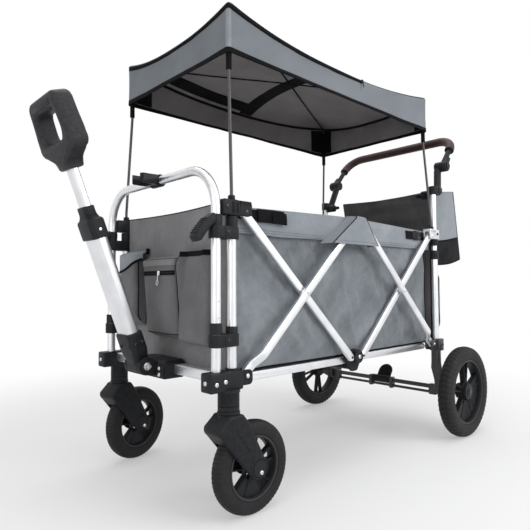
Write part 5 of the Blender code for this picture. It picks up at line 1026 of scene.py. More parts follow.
# Drawbar
# Two telescoping aluminium tubes of rounded rectangular section, a nylon yoke on the pivot bolt, a
# stepped nylon collar that guides the inner tube, and a D-shaped grip moulded round its end.
DRAWBAR_LEAN = radians(20.5)
DRAWBAR = at(DRAWBAR_X, 0, DRAWBAR_Z) @ Matrix.Rotation(-DRAWBAR_LEAN, 4, "Y")
OUTER_DEEP, OUTER_WIDE, OUTER_LOW, OUTER_HIGH = 0.029, 0.058, 0.0353, 0.318
INNER_DEEP, INNER_WIDE, INNER_LOW, INNER_HIGH = 0.017, 0.031, 0.045, 0.4707
SLIDE_FIT = 0.0006
NECK = ((0.006, 0.036, 0.046, 0.01), (0.018, 0.036, 0.05, 0.011), (0.028, 0.0375, 0.06, 0.012),
        (0.038, 0.038, 0.067, 0.012), (0.074, 0.038, 0.067, 0.012), (0.078, 0.037, 0.066, 0.0118),
        (0.08, 0.034, 0.063, 0.0112))
TELESCOPE = ((0.296, 0.0345, 0.0635, 0.0115), (0.2985, 0.038, 0.067, 0.012), (0.331, 0.038, 0.067, 0.012),
             (0.336, 0.036, 0.065, 0.0118), (0.3395, 0.03, 0.052, 0.0105), (0.346, 0.027, 0.043, 0.0095),
             (0.352, 0.026, 0.04, 0.009), (0.3635, 0.026, 0.04, 0.009), (0.366, 0.0235, 0.0375, 0.0085))


def stacked(sections):
    """A moulding along the bar through sections, each with its height, depth, width and corner radius."""
    return lofted([[(x, y, height) for x, y in middle_rectangle(deep, wide, radius, 8)]
                   for height, deep, wide, radius in sections])


def along_bar(low, high):
    """Placing of a plate that runs from low to high along the upright drawbar."""
    return at(0, 0, (low + high) / 2)


def bar_length(deep, wide, radius, low, high, edge=0.0):
    """A solid length of rounded bar."""
    return placed(plate(middle_rectangle(deep, wide, radius, 8), high - low, edge), along_bar(low, high))


def outer_way(low, high):
    """The room that the outer tube takes in a moulding."""
    return bar_length(OUTER_DEEP + SLIDE_FIT, OUTER_WIDE + SLIDE_FIT, 0.0103, low, high)


def inner_way(low, high):
    """The room that the inner tube takes in a moulding."""
    return bar_length(INNER_DEEP + SLIDE_FIT, INNER_WIDE + SLIDE_FIT, 0.0063, low, high)


yoke_hub = placed(lathe([(0.0063, -0.024), (0.0185, -0.024), (HUB_R, -0.0225), (HUB_R, 0.0225), (0.0185, 0.024),
                         (0.0063, 0.024)], 64), facing(0, 0, 0, -1))
piece("yoke", [yoke_hub, carved(stacked(NECK), outer_way(0.035, 0.09))], NYLON, "drawbar", DRAWBAR, 32,
      "drawbar_yoke")
side_spots = [(DRAWBAR @ Vector((x, s * 0.0334, 0.056)), (0, s, 0)) for s in (-1, 1) for x in (-0.008, 0.008)]
front_spots = [(DRAWBAR @ Vector((-0.0189, y, 0.052)), DRAWBAR.to_3x3() @ -ALONG_X) for y in (-0.017, 0.017)]
screws("yoke_screws", side_spots + front_spots, 0.0042, "drawbar", DARK_SCREW)
piece("drawbar_outer", plate(middle_rectangle(OUTER_DEEP, OUTER_WIDE, 0.01, 8), OUTER_HIGH - OUTER_LOW, 0,
                             [middle_rectangle(OUTER_DEEP - 0.004, OUTER_WIDE - 0.004, 0.008, 8)]),
      ALUMINIUM, "drawbar", DRAWBAR @ along_bar(OUTER_LOW, OUTER_HIGH), stands_for="drawbar_outer_tube")
piece("telescope_collar", carved(stacked(TELESCOPE), outer_way(0.285, 0.3183), inner_way(0.28, 0.375)), NYLON,
      "drawbar", DRAWBAR, 32, "drawbar_collar")
screws("collar_screws", [(DRAWBAR @ Vector((0, s * 0.0334, 0.314)), (0, s, 0)) for s in (-1, 1)], 0.0036,
       "drawbar")
piece("drawbar_inner", plate(middle_rectangle(INNER_DEEP, INNER_WIDE, 0.006, 8), INNER_HIGH - INNER_LOW),
      ALUMINIUM, "drawbar_slide", DRAWBAR @ along_bar(INNER_LOW, INNER_HIGH), stands_for="drawbar_inner_tube")
piece("drawbar_inner_plug", bar_length(OUTER_DEEP - 0.0046, OUTER_WIDE - 0.0046, 0.0075, 0.044, 0.057, 0.001),
      NYLON, "drawbar_slide", DRAWBAR)

GRIP_LOW = 0.446
GRIP_PLACE = axes((0, 0, GRIP_LOW), ALONG_Y, ALONG_X)
SOFT_GREY = moulded("soft_grey_nylon", (0.018, 0.0186, 0.021), (0.045, 0.045, 0.049), (0.42, 0.56), 620.0,
                    0.00018)
grip_half = ([(0.021, 0.0), (0.0235, 0.007), (0.029, 0.015), (0.038, 0.021), (0.05, 0.0265), (0.0605, 0.0325)]
             + arc((0.058, 0.052), 0.02, -60, 20, 10) + [(0.076, 0.074), (0.073, 0.09), (0.0705, 0.108)]
             + arc((0.047, 0.126), 0.022, 15, 90, 12))
grip_window = rounded([(-0.04, 0.0575), (0.04, 0.0575), (0.05, 0.074), (0.046, 0.118), (-0.046, 0.118),
                       (-0.05, 0.074)], 0.014, 8)
d_grip = plate(grip_half + [(-x, z) for x, z in reversed(grip_half)], 0.042, 0.0095, [grip_window])
piece("d_grip", carved(placed(d_grip, GRIP_PLACE), inner_way(0.436, 0.471)), SOFT_GREY, "drawbar_slide",
      DRAWBAR, 45, "drawbar_grip")
pad_outline = rounded([(-0.04, 0.1245), (0.04, 0.1245), (0.044, 0.134), (-0.044, 0.134)], 0.004)
for label, face in (("front", -1), ("back", 1)):
    piece("d_grip_pad_" + label, plate(pad_outline, 0.0016, 0.0006), NYLON, "drawbar_slide",
          DRAWBAR @ at(face * 0.021, 0, 0) @ GRIP_PLACE)

# Push handle
# A bent steel bar with a stitched brown leatherette grip, hinged on two moulded arms. Round buttons in
# the pivot discs free its tilt, and the arms' clamps carry knobs that hold the bag.
HANDLE_X, HANDLE_Z, LEG_Y = 0.9025, 0.857, 0.222
HANDLE_LEAN = radians(40)
HANDLE = at(HANDLE_X, 0, HANDLE_Z) @ Matrix.Rotation(HANDLE_LEAN, 4, "Y")
HANDLE_REACH, HANDLE_CORNER, GRIP_START = 0.147, 0.06, 0.086
LEATHERETTE, tree, shader = new_paint("brown_leatherette", "leatherette", Sheen_Weight=0.04,
                                      Specular_IOR_Level=0.25)
spot = add_node(tree, "TexCoord").outputs["Object"]
pebbles = add_node(tree, "TexVoronoi", {"Vector": spot, "Scale": 620.0}, feature="DISTANCE_TO_EDGE")
marks = place_group(tree, HANDLING, Blotches=38.0, Rub_Start=0.5, Rub_End=0.58)
hide = mix_colours(tree, spread(tree, marks["Blotch"], 0.0, 1.0), (0.026, 0.0115, 0.0105),
                   (0.052, 0.0245, 0.022))
lay_on(tree, shader, hide, spread(tree, marks["Blotch"], 0.4, 0.56), pebbles.outputs["Distance"], 0.00035)
handle_bend = arc((LEG_Y - HANDLE_CORNER, HANDLE_REACH - HANDLE_CORNER), HANDLE_CORNER, 0, 90, 16)


def handle_points(start):
    """The push bar's centre line from a height on one leg to the same height on the other."""
    return bow([(LEG_Y, start)] + handle_bend, 0)


BAR_DISC = [(0, 0.0003), (0.016, 0.0003), (0.017, 0.0012), (0.017, 0.018), (0.0158, 0.0202), (0.0112, 0.0205),
            (0.0104, 0.0198), (0.0104, 0.0125), (0, 0.0125)]
BAR_STUB = [(0, 0.012), (0.0105, 0.0125), (0.0098, 0.03), (0.0088, 0.04), (0, 0.04)]
END_RING = [(0.0088, 0), (0.0148, 0), (0.0152, 0.001), (0.0152, 0.006), (0.0148, 0.007), (0.0088, 0.007)]
bar_parts = []
disc_ways = []
for s in (-1, 1):
    keep_out = side_block(s, -0.03, 0.03, LEG_Y - 0.03, LEG_Y + 0.0002, -0.03, 0.0185, 0.0001, 1)
    bar_parts += [(lathe(BAR_DISC), facing(0, s * LEG_Y, 0, s)),
                  carved(placed(lathe(BAR_STUB, 40), at(0, s * (LEG_Y + 0.0085), 0)), keep_out)]
    disc_way = lathe([(0, 0.03), (0.0185, 0.03), (0.0185, -0.0003), (0, -0.0003)], 40)
    disc_ways.append(placed(disc_way, facing(0, s * LEG_Y, 0, -s)))
bar_parts.append(carved(round_rod(handle_points(0.013), 0.0085, 8), *disc_ways))
piece("push_bar_tube", bar_parts, NYLON, "push_handle", HANDLE, 32, "push_bar")
piece("grip_sleeve", round_rod(handle_points(GRIP_START), 0.0145, 10), LEATHERETTE, "push_handle", HANDLE,
      stands_for="handle_grip")
piece("grip_end_rings", [(lathe(END_RING, 48), at(0, s * LEG_Y, GRIP_START - 0.003)) for s in (-1, 1)],
      GLOSSY_NYLON, "push_handle", HANDLE)
THREAD = blotched("bonded_thread", "leatherette", (0.02, 0.011, 0.009), (0.04, 0.022, 0.017), None, 300.0,
                  Roughness=0.6)
GRIP_STITCH = 0.0052


def walk(path, start, pitch):
    """Places along a path at equal steps, each with the path's direction there."""
    walked = start
    for a, b in zip(path, path[1:]):
        length, way = (b - a).length, (b - a).normalized()
        while walked < length:
            yield a + way * walked, way
            walked += pitch
        walked -= length


path = [Vector(p) for p in handle_points(GRIP_START + 0.006)]
count = int(sum((b - a).length for a, b in zip(path, path[1:])) / GRIP_STITCH)
stitches = [(soft_block((-0.0004, -0.0006, -0.0015), (0.0004, 0.0004, 0.0015), 0.0003, 1),
             axes(spot + way.cross(ALONG_X) * 0.01435, ALONG_X, way))
            for spot, way in list(walk(path, 0.003, GRIP_STITCH))[:count]]
piece("grip_stitches", stitches, THREAD, "push_handle", HANDLE)

ARM_DISC = [(0, 0), (0.0112, 0), (0.0158, 0.0006), (0.017, 0.0022), (0.017, 0.0192), (0.016, 0.0202),
            (0, 0.0202)]
KNOB = [(0, 0.01), (0.0115, 0.01), (0.013, 0.0115), (0.013, 0.02), (0.012, 0.021), (0.012, 0.024),
        (0.013, 0.025), (0.013, 0.04), (0.0115, 0.042), (0.0068, 0.045), (0.0052, 0.06), (0, 0.0614)]
BUTTON = [(0, 0), (0.01, 0), (0.01, 0.0068), (0.0092, 0.0078), (0.006, 0.008), (0.005, 0.0074), (0, 0.0072)]
for side, s in SIDES:
    arm = round_rod([(POST_PITCH + 0.02, s * POST_Y, 0.765), (POST_PITCH + 0.034, s * (POST_Y - 0.0025), 0.783),
                     (HANDLE_X - 0.01, s * (POST_Y - 0.0115), 0.842),
                     (HANDLE_X, s * (POST_Y - 0.012), HANDLE_Z)],
                    0.0115, 8)
    shield = placed(lathe([(0, 0.035), (0.0187, 0.035), (0.0187, -0.0003), (0, -0.0003)], 40),
                    facing(HANDLE_X, s * LEG_Y, HANDLE_Z, s))
    parts = [(plate(stadium(0.02, 0.0145), 0.026, 0.0024), at(POST_PITCH, s * POST_Y, 0.77)),
             carved(arm, shield), (lathe(ARM_DISC), facing(HANDLE_X, s * (LEG_Y - 0.0205), HANDLE_Z, s)),
             side_block(s, POST_PITCH + 0.008, POST_PITCH + 0.03, POST_Y + 0.0135, POST_Y + 0.0165, 0.761,
                        0.779, 0.0012)]
    piece("handle_arm_body_" + side, parts, NYLON, "rear_carriage", stands_for="handle_arm_" + side)
    piece("bag_knob_" + side, lathe(KNOB, 36), GLOSSY_NYLON, "rear_carriage",
          facing(POST_PITCH + 0.004, s * POST_Y, 0.76, -s))
    screws("handle_clamp_screw_" + side, [((POST_PITCH + 0.019, s * (POST_Y + 0.0162), 0.77), (0, s, 0))],
           0.0042, "rear_carriage", DARK_SCREW)
    piece("tilt_button_" + side, lathe(BUTTON, 48), GLOSSY_NYLON, "button_" + side,
          facing(HANDLE_X, s * 0.2385, HANDLE_Z, s), stands_for="pivot_button_" + side)

# Side walls
# Plain-woven polyester, one panel a side, sewn under a padded top band and bound in black at its foot. It
# hangs slack behind the arms in soft diagonal creases, and its free ends wave beside the posts.
WEAVE, entry = new_group("plain_weave", Threads=350.0)
spot = add_node(WEAVE, "TexCoord").outputs["Object"]
threads = [add_node(WEAVE, "TexWave", {"Vector": spot, "Scale": entry["Threads"], "Distortion": 0.4},
                    bands_direction=way).outputs["Fac"] for way in "XYZ"]
crossed = reckon(WEAVE, "ADD", reckon(WEAVE, "ADD", threads[0], threads[1]), threads[2])
slub = add_node(WEAVE, "TexNoise", {"Vector": spot, "Scale": 70.0, "Detail": 6.0, "Roughness": 0.7})
# The Shade output is painted shade and sheen: noise stretched along the diagonal creases, lighter and darker as
# folds catch the light.
bias = add_node(WEAVE, "Mapping", {"Vector": spot, "Rotation": (0.0, radians(52), 0.0),
                                   "Scale": (0.067, 0.067, 0.2)},
                vector_type="TEXTURE")
painted_crease_shade = add_node(WEAVE, "TexNoise", {"Vector": bias, "Scale": 1.0, "Detail": 4.0})
painted_crease_shade = add_node(WEAVE, "MapRange", {"Value": painted_crease_shade, "From Min": 0.25, "From Max": 0.75})
send_out(WEAVE, Height=reckon(WEAVE, "MULTIPLY_ADD", slub, 0.8, crossed), Slub=slub, Shade=painted_crease_shade)


def woven(name, dark, light, threads=350.0, relief=0.00016, sheen=0.1, gloss=0.25):
    """Woven cloth: threads and slubs, with painted shade and sheen along diagonal creases, between two colours.
    """
    paint, tree, shader = new_paint(name, "grey_fabric", Sheen_Weight=sheen, Sheen_Roughness=0.45,
                                    Specular_IOR_Level=gloss)
    weave = place_group(tree, WEAVE, Threads=threads)
    # The colour mixes the yarn's slubs with the painted shade and sheen of the creases.
    slubs_and_painted_shade = reckon(tree, "MULTIPLY", reckon(tree, "ADD", weave["Slub"], weave["Shade"]), 0.5)
    colour = mix_colours(tree, spread(tree, slubs_and_painted_shade, 0.0, 1.0), dark, light)
    lay_on(tree, shader, colour, spread(tree, weave["Slub"], 0.72, 0.92), weave["Height"], relief)
    return paint


GREY_CLOTH = woven("grey_polyester", (0.15, 0.166, 0.184), (0.268, 0.292, 0.318))
DARK_LINING = woven("dark_lining", (0.1, 0.091, 0.094), (0.145, 0.134, 0.138), 420.0)
BINDING = woven("black_binding", (0.005, 0.005, 0.0056), (0.011, 0.011, 0.012), 300.0, 0.00025, 0.0, 0.08)
GREY_THREAD = woven("grey_thread", (0.105, 0.118, 0.135), (0.15, 0.165, 0.185), 900.0, 0.0001)
WALL_X0, WALL_X1, WALL_LOW, WALL_TOP, WALL_RISE, BAND_LOW = 0.0042, 0.8346, 0.284, 0.636, 0.012, 0.579
HALF_FOLD = radians(30)
HALF_PITCH, FRAME_HEIGHT = MIDDLE_X - CENTRE_PIN - PIN_INSET, UPPER_PIN_Z - LOWER_PIN_Z
FOLDED_HALF = hypot(HALF_PITCH, FRAME_HEIGHT) * cos(atan2(FRAME_HEIGHT, HALF_PITCH) + HALF_FOLD)


def levels(low, high, count):
    """Evenly spaced values, both ends included."""
    return [low + (high - low) * i / (count - 1) for i in range(count)]


def eased(t):
    """A step from 0 to 1 with soft ends."""
    t = min(1.0, max(0.0, t))
    return t * t * (3 - 2 * t)


def ruffle(x, y, z):
    """Smooth noise, the same each run."""
    return noise.noise(Vector((x, y, z)))


def cloth_mesh(rows, thick=0.0011, closed=False):
    """A sheet through rows of points, with its own thickness; its inner faces take the second material."""
    count = len(rows[0])
    spans = [(j, (j + 1) % count) for j in range(count if closed else count - 1)]
    bm = bmesh.new()
    outer, inner = [], []
    for i, row in enumerate(rows):
        below, above = rows[max(i - 1, 0)], rows[min(i + 1, len(rows) - 1)]
        outer.append([])
        inner.append([])
        for j, point in enumerate(row):
            before = row[j - 1] if closed or j else row[0]
            after = row[(j + 1) % count] if closed or j + 1 < count else row[-1]
            across, upwards = Vector(after) - Vector(before), Vector(above[j]) - Vector(below[j])
            lift = across.cross(upwards).normalized() * thick / 2
            outer[i].append(bm.verts.new(Vector(point) + lift))
            inner[i].append(bm.verts.new(Vector(point) - lift))
    for i in range(len(rows) - 1):
        for j, k in spans:
            bm.faces.new((outer[i][j], outer[i][k], outer[i + 1][k], outer[i + 1][j]))
            bm.faces.new((inner[i][k], inner[i][j], inner[i + 1][j], inner[i + 1][k])).material_index = 1
        if not closed:
            bm.faces.new((outer[i][0], outer[i + 1][0], inner[i + 1][0], inner[i][0]))
            bm.faces.new((outer[i + 1][-1], outer[i][-1], inner[i][-1], inner[i + 1][-1]))
    for j, k in spans:
        bm.faces.new((outer[0][k], outer[0][j], inner[0][j], inner[0][k]))
        bm.faces.new((outer[-1][j], outer[-1][k], inner[-1][k], inner[-1][j]))
    return mesh_of(bm)


def cloth(name, mesh, paint, body, lining=None, stands_for=None):
    """Add a cloth piece, with a second paint for its inner faces."""
    indices = [face.material_index for face in mesh.polygons]
    ob = piece(name, mesh, paint, body, smooth=70, stands_for=stands_for)
    ob.data.materials.append(lining or paint)
    ob.data.polygons.foreach_set("material_index", indices)
    return ob


def cord(points, radius):
    """A piping or a bound edge along points."""
    return round_rod(points, radius, 3)


def creases(x, z, seed):
    """Slack cloth: broad swells and long soft creases that run across each other, about -1 to 1."""
    folds = ruffle(x * 5.0, z * 6.0, seed) * 0.7
    for lean, pitch, share in ((-50, 0.07, 0.75), (44, 0.095, 0.45), (-74, 0.042, 0.3)):
        along = x * cos(radians(lean)) + z * sin(radians(lean))
        across = z * cos(radians(lean)) - x * sin(radians(lean))
        folds += share * (0.45 - abs(ruffle(along / (pitch * 3.6), across / pitch, seed + lean)) * 1.7)
    return folds


def room(x, z):
    """How far out the side cloth may reach beside the brackets, hubs and arms."""
    corner = 1 - eased((min(x, POST_PITCH - x) - 0.046) / 0.03)
    low, high = 1 - eased((z - 0.298) / 0.03), eased((z - 0.59) / 0.02)
    hub = (1 - eased((abs(x - MIDDLE_X) - 0.046) / 0.03)) * (1 - eased((z - 0.312) / 0.03))
    return 0.2122 - 0.0052 * max(corner * low, corner * high, hub)


def panel_point(u, z, s, out=0.0):
    """A point of the side panel, u from 0 at its front end to 1 at its rear end."""
    v = (z - WALL_LOW) / (BAND_LOW - WALL_LOW)
    front = WALL_X0 + 0.004 * (1 + sin(z * 43 + s)) * eased(v / 0.15)
    rear = WALL_X1 - 0.026 * eased((v - 0.25) / 0.65) - 0.002 * sin(z * 50)
    x = front + (rear - front) * u
    hold = 0.22 + 0.78 * eased(v / 0.16) * eased((1 - v) / 0.12)
    gather = 0.0012 * sin(x * 420 + 3 * ruffle(x * 30, 0, s)) * eased((v - 0.88) / 0.1)
    belly = 0.0045 * sin(pi * u) * sin(pi * min(1.0, v * 1.1))
    y = 0.1975 + belly + creases(x, z, 3.1 + s) * 0.019 * hold + gather
    return x, s * (max(0.184, min(room(x, z), y)) + out), z


def stitch_row(points, outward, pitch=0.0036, size=0.00045):
    """A row of sewn stitches along a path of points."""
    parts = []
    for spot, way in walk([Vector(p) for p in points], pitch / 2, pitch):
        side_way = Vector(outward).cross(way).normalized()
        turn = Matrix((way, side_way, way.cross(side_way))).transposed().to_4x4()
        parts.append((soft_block((-pitch * 0.36, -size, -size * 0.8), (pitch * 0.36, size, size * 0.8),
                                 size * 0.7, 1),
                      at(*spot) @ turn))
    return merged(parts)


def squashed(ob, first_x=WALL_X0, last_x=WALL_X1):
    """Give a piece a mesh of its own."""
    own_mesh(ob)
    return ob


def panel_rows(s, columns, heights, out=0.0):
    """Rows of the side panel at some heights, run so that its outer face comes first."""
    return [[panel_point(u, z, s, out) for u in levels(0, 1, columns)][::-s] for z in heights]


for side, s in SIDES:
    rows = panel_rows(s, 200, levels(WALL_LOW, BAND_LOW + 0.01, 74))
    panel = squashed(cloth("side_panel_" + side, cloth_mesh(rows), GREY_CLOTH, "front_carriage", DARK_LINING,
                           "side_wall_" + side))
    rows = panel_rows(s, 120, levels(WALL_LOW - 0.0005, WALL_LOW + 0.004, 3), 0.0008)
    squashed(cloth("side_binding_" + side, cloth_mesh(rows, 0.0012), BINDING, "front_carriage"))
    edge = [panel_point(1.0, z, s, 0.0004) for z in levels(WALL_LOW, BAND_LOW, 40)]
    squashed(piece("side_edge_" + side, cord(edge, 0.0013), BINDING, "front_carriage"))

# Top bands and scissor flaps
# A folded band of cloth over thin foam, painted lighter than the panel as painted light on its padded face,
# sewn on with two rows of stitches. A hemmed flap piped in black runs out over the upper scissor joint from the
# middle of each band, and hides its links.
# Painted light: the grey cloth made lighter for the band's padded, upturned face; flaps, bag wrap and canopy
# strips share it.
BAND_CLOTH = woven("band_polyester", (0.235, 0.262, 0.29), (0.325, 0.352, 0.382))
FLAP_FRONT, FLAP_REAR, FLAP_RISE, FLAP_LID, FLAP_OUT, FLAP_IN = 0.105, 0.086, 0.069, 0.66, 0.2482, 0.2068


def band_y(x, z, s, deep=1.0):
    """How far out the face of the band lies; deep runs from 1 outside to -1 inside."""
    v = min(1.0, max(0.0, (z - BAND_LOW) / (WALL_TOP - BAND_LOW)))
    u = (x - WALL_X0) / (WALL_X1 - WALL_X0)
    ends = 0.35 + 0.65 * eased(u / 0.012) * eased((1 - u) / 0.012)
    ripple = (0.0014 * creases(x * 1.5, z * 1.5, 11.0 + s)
              + 0.0016 * sin(x * 110 + z * 30) * (1 - eased(u / 0.18)) * (1 - v))
    y = 0.2062 + (deep * 0.0048 * (0.55 + 0.45 * sin(pi * v)) + ripple * (0.5 + 0.5 * deep)) * ends
    return min(y, room(x, z) + 0.0008)


def squared(t, power):
    """A sine or cosine flattened towards its ends, which squares a round outline."""
    return copysign(abs(t) ** power, t)


def flap_point(u, v, s, out=0.0):
    """A point of the flap, |u| to 1 on its face and to 1.3 on the gussets, v from its hem to the band's top."""
    lid = max(0.0, (v - FLAP_LID) / (1 - FLAP_LID))
    rise = min(1.0, v / FLAP_LID)
    foot = FLAP_FRONT if u < 0 else FLAP_REAR
    half = foot - (foot - 0.021) * rise - 0.009 * lid
    z = BAND_LOW - 0.008 + FLAP_RISE * rise + 0.008 * sin(lid * pi / 2)
    outermost = FLAP_OUT + 0.0012 * cos(min(abs(u), 1.0) * pi / 2)
    face = FLAP_IN + (outermost - FLAP_IN) * max(0.0, cos(lid * pi / 2)) ** 0.75
    drop = max(0.0, abs(u) - 1) / 0.3
    across = u if abs(u) <= 1 else copysign(1 + 0.05 * drop * (1 - 0.8 * lid), u)
    x = MIDDLE_X - 0.004 - 0.012 * (1 - rise) + across * half
    y = face - (face - min(face, 0.2108)) * eased(drop) + out
    return x, s * (y + 0.0006 * ruffle(x * 40, z * 40, s)), z - 0.0035 * drop * lid


for side, s in SIDES:
    rings = []
    for u in levels(0, 1, 150):
        x = WALL_X0 - 0.0008 + (WALL_X1 - WALL_X0 + 0.0016) * u
        top = WALL_TOP + WALL_RISE * (1 - abs(2 * u - 1) ** 1.15) - 0.001
        foot = BAND_LOW + 0.0018 * ruffle(x * 9, 4.0, s)
        ring = []
        for t in (2 * pi * k / 40 for k in range(40)):
            z = (top + foot) / 2 + squared(sin(t), 0.3) * (top - foot) / 2
            ring.append((x, s * band_y(x, z, s, squared(cos(t), 0.55)), z))
        rings.append(ring[::s])
    band = piece("side_band_" + side, lofted(rings), BAND_CLOTH, "front_carriage", smooth=60)
    squashed(band)
    for label, rise in (("lower", 0.0045), ("upper", 0.01)):
        for half, x0, x1 in (("front", WALL_X0 + 0.004, MIDDLE_X - 0.116),
                             ("rear", MIDDLE_X + 0.116, WALL_X1 - 0.004)):
            path = [(x, s * (band_y(x, BAND_LOW + rise, s) + 0.0003), BAND_LOW + rise)
                    for x in levels(x0, x1, 60)]
            squashed(piece(f"band_stitches_{label}_{half}_{side}", stitch_row(path, (0, s, 0)), GREY_THREAD,
                           "front_carriage"))
    rows = [[flap_point(u, v, s) for u in levels(-1.3, 1.3, 81)][::-s] for v in levels(0, 1, 43)]
    flap = squashed(cloth("scissor_flap_" + side, cloth_mesh(rows, 0.0012), BAND_CLOTH, "front_carriage",
                          DARK_LINING))
    trims = [cord([flap_point(u, v, s, 0.0006) for v in levels(0, 0.97, 40)], r)
             for u, r in ((-1, 0.0013), (1, 0.0008))]
    squashed(piece("flap_piping_" + side, trims, BINDING, "front_carriage"))
    hem = [flap_point(u, 0.07, s, 0.0008) for u in levels(-0.96, 0.96, 30)]
    squashed(piece("flap_hem_stitches_" + side, stitch_row(hem, (0, s, 0)), GREY_THREAD, "front_carriage"))

# Side straps and buckles
# Black webbing on each corner: at the front a folded length with its sewn tail, at the rear a length with
# a side-release buckle. They pull the ends of the band to the brackets.
WEBBING = woven("black_webbing", (0.006, 0.006, 0.0067), (0.014, 0.014, 0.0152), 210.0, 0.0004, 0.0, 0.08)
FRONT_STRAPS = ((0.018, 0.09, 0.609, 0.633, 0.0003, 0.0018, 0.0006),
                (0.08, 0.162, 0.606, 0.635, 0.002, 0.0042, 0.0006),
                (0.122, 0.166, 0.6045, 0.631, 0.0062, 0.0022, 0.0008))
REAR_STRAPS = ((0.69, 0.742, 0.6065, 0.6315, 0.0003, 0.0022, 0.0005),
               (0.754, 0.806, 0.607, 0.632, 0.0003, 0.0018, 0.0))
BUCKLE = ((0.732, 0.762, 0.2115, 0.218, 0.6045, 0.6335, 0.0022),
          (0.723, 0.735, 0.2125, 0.2168, 0.6085, 0.6295, 0.0018),
          (0.758, 0.77, 0.2125, 0.2168, 0.6085, 0.6295, 0.0018),
          (0.741, 0.753, 0.217, 0.219, 0.61, 0.628, 0.0009))


def strap(s, x0, x1, low, high, out, thick, wave):
    """A length of webbing laid along the band, some way out from it."""
    rows = [[(x, s * (max(band_y(x, z, s), 0.2085) + out + thick / 2 + wave * (1 + sin(x * 90 + z * 40))),
              z + wave * 0.8 * sin(x * 60)) for x in levels(x0, x1, 30)][::-s] for z in levels(low, high, 9)]
    return cloth_mesh(rows, thick)


for side, s in SIDES:
    for end, lengths in (("front", FRONT_STRAPS), ("rear", REAR_STRAPS)):
        piece(f"{end}_strap_{side}", [strap(s, *sizes) for sizes in lengths], WEBBING, end + "_carriage",
              smooth=40)
    piece("strap_buckle_" + side, [side_block(s, *sizes) for sizes in BUCKLE], GLOSSY_NYLON, "rear_carriage")

# Front wall and pockets
# Dark polyester panel with a sagging top edge, bound in black at both ends. Three pockets are sewn on it:
# one under a piped flap, a boxed one with a zip, and a tall one gathered by elastic at its mouth.
FRONT_CLOTH = woven("front_polyester", (0.215, 0.208, 0.216), (0.285, 0.277, 0.287))
POCKET_CLOTH = woven("pocket_polyester", (0.128, 0.125, 0.131), (0.184, 0.181, 0.189))
WALL_HALF = 0.2115


def pouch(y0, y1, z0, z1, deep, base, way, seed, foot=0.03, crown=0.014, mouth=0.0, corner=0.3, lean=0.0):
    """The outline of a sewn pouch at any height: from the wall round its front and back to the wall."""
    def row(z, out=0.0, count=52):
        """The outline at one height, or some way outside it."""
        fill = eased((z - z0) / foot + 0.06) ** 0.5
        fill *= 1 - mouth * eased((z - z1 + 0.035) / 0.035) if mouth else eased((z1 - z) / crown + 0.04) ** 0.5
        pull = mouth * 0.036 * eased((z - z1 + 0.13) / 0.13)
        points = []
        for j in range(count + 1):
            t = pi * j / count
            y = (y0 + y1) / 2 + lean * (z1 - z) / (z1 - z0) - ((y1 - y0) / 2 + out) * squared(cos(t), corner)
            bulge = sin(t) ** corner if 0 < j < count else 0.0
            slack = (creases(y * 1.7, z * 1.7, seed) * 0.0032 + pull * sin(y * 215)) * sin(t)
            points.append((base + way * (bulge * (deep * fill + out) + slack * fill), y, z))
        return points
    return row


def pouch_rows(row, low, high, way, count=44, out=0.0):
    """The rows of a pouch's skin between two heights, closer together at its ends."""
    return [row(low + (high - low) * (1 - cos(pi * k / (count - 1))) / 2, out)[::way] for k in range(count)]


def front_wall_point(y, v):
    """A point of the front wall, v from its foot to its sagging top edge."""
    hold = 0.25 + 0.75 * eased(v / 0.12) * eased((1 - v) / 0.1) * eased((1 - abs(y / WALL_HALF)) / 0.08)
    top = 0.639 + 0.006 * abs(y / WALL_HALF) ** 1.7
    z = WALL_LOW + (top - WALL_LOW) * v
    return 0.003 + 0.0032 * creases(y * 1.4, z * 1.4, 21.0) * hold, y, z


rows = [[front_wall_point(y, v) for y in levels(WALL_HALF, -WALL_HALF, 90)] for v in levels(0, 1, 70)]
wall = cloth("front_wall_panel", cloth_mesh(rows), FRONT_CLOTH, "front_carriage", DARK_LINING, "front_wall")
edges = [cord([front_wall_point(y, v) for y in levels(-WALL_HALF, WALL_HALF, 40)], r)
         for v, r in ((1, 0.0014), (0, 0.0016))]
edges += [cord([front_wall_point(s * WALL_HALF, v) for v in levels(0, 1, 40)], 0.0019) for s in (-1, 1)]
piece("front_wall_binding", edges, BINDING, "front_carriage")

FLAP_LOW, ZIP_LOW, TALL_LOW = 0.37, 0.348, 0.338
FLAP_HIGH, ZIP_HIGH, TALL_HIGH = 0.546, 0.537, 0.542
POCKET_BASE = -0.0005
flap_pocket = pouch(0.116, 0.196, FLAP_LOW, FLAP_HIGH, 0.034, POCKET_BASE, -1, 31.0)
zip_pocket = pouch(-0.051, 0.086, ZIP_LOW, ZIP_HIGH, 0.03, POCKET_BASE, -1, 37.0, 0.016, 0.012, 0.0, 0.22,
                   -0.022)
tall_pocket = pouch(-0.177, -0.073, TALL_LOW, TALL_HIGH, 0.033, POCKET_BASE, -1, 41.0, 0.014, 0.014, 0.3, 0.27)
for name, row, low, high, flat, held in (
        ("flap_pocket", flap_pocket, FLAP_LOW, FLAP_HIGH, (0.15, 0.215), "hung"),
        ("zip_pocket", zip_pocket, ZIP_LOW, ZIP_HIGH, (0.205, 0.248), "hung"),
        ("tall_pocket", tall_pocket, TALL_LOW, TALL_HIGH, (0.2, 0.24), "gathered")):
    pocket = cloth(name, cloth_mesh(pouch_rows(row, low, high, -1)), POCKET_CLOTH, "front_carriage",
                   DARK_LINING)

trims = [cord([row(z, 0.0006)[j] for z in levels(low, high, 30)], 0.0014)
         for row, low, high in ((flap_pocket, 0.382, 0.534), (zip_pocket, 0.354, 0.532)) for j in (4, 48)]
trims += [cord(zip_pocket(z, 0.0006)[3:50], 0.0013) for z in (0.359, 0.5295)]
piece("pocket_piping", trims, BINDING, "front_carriage")

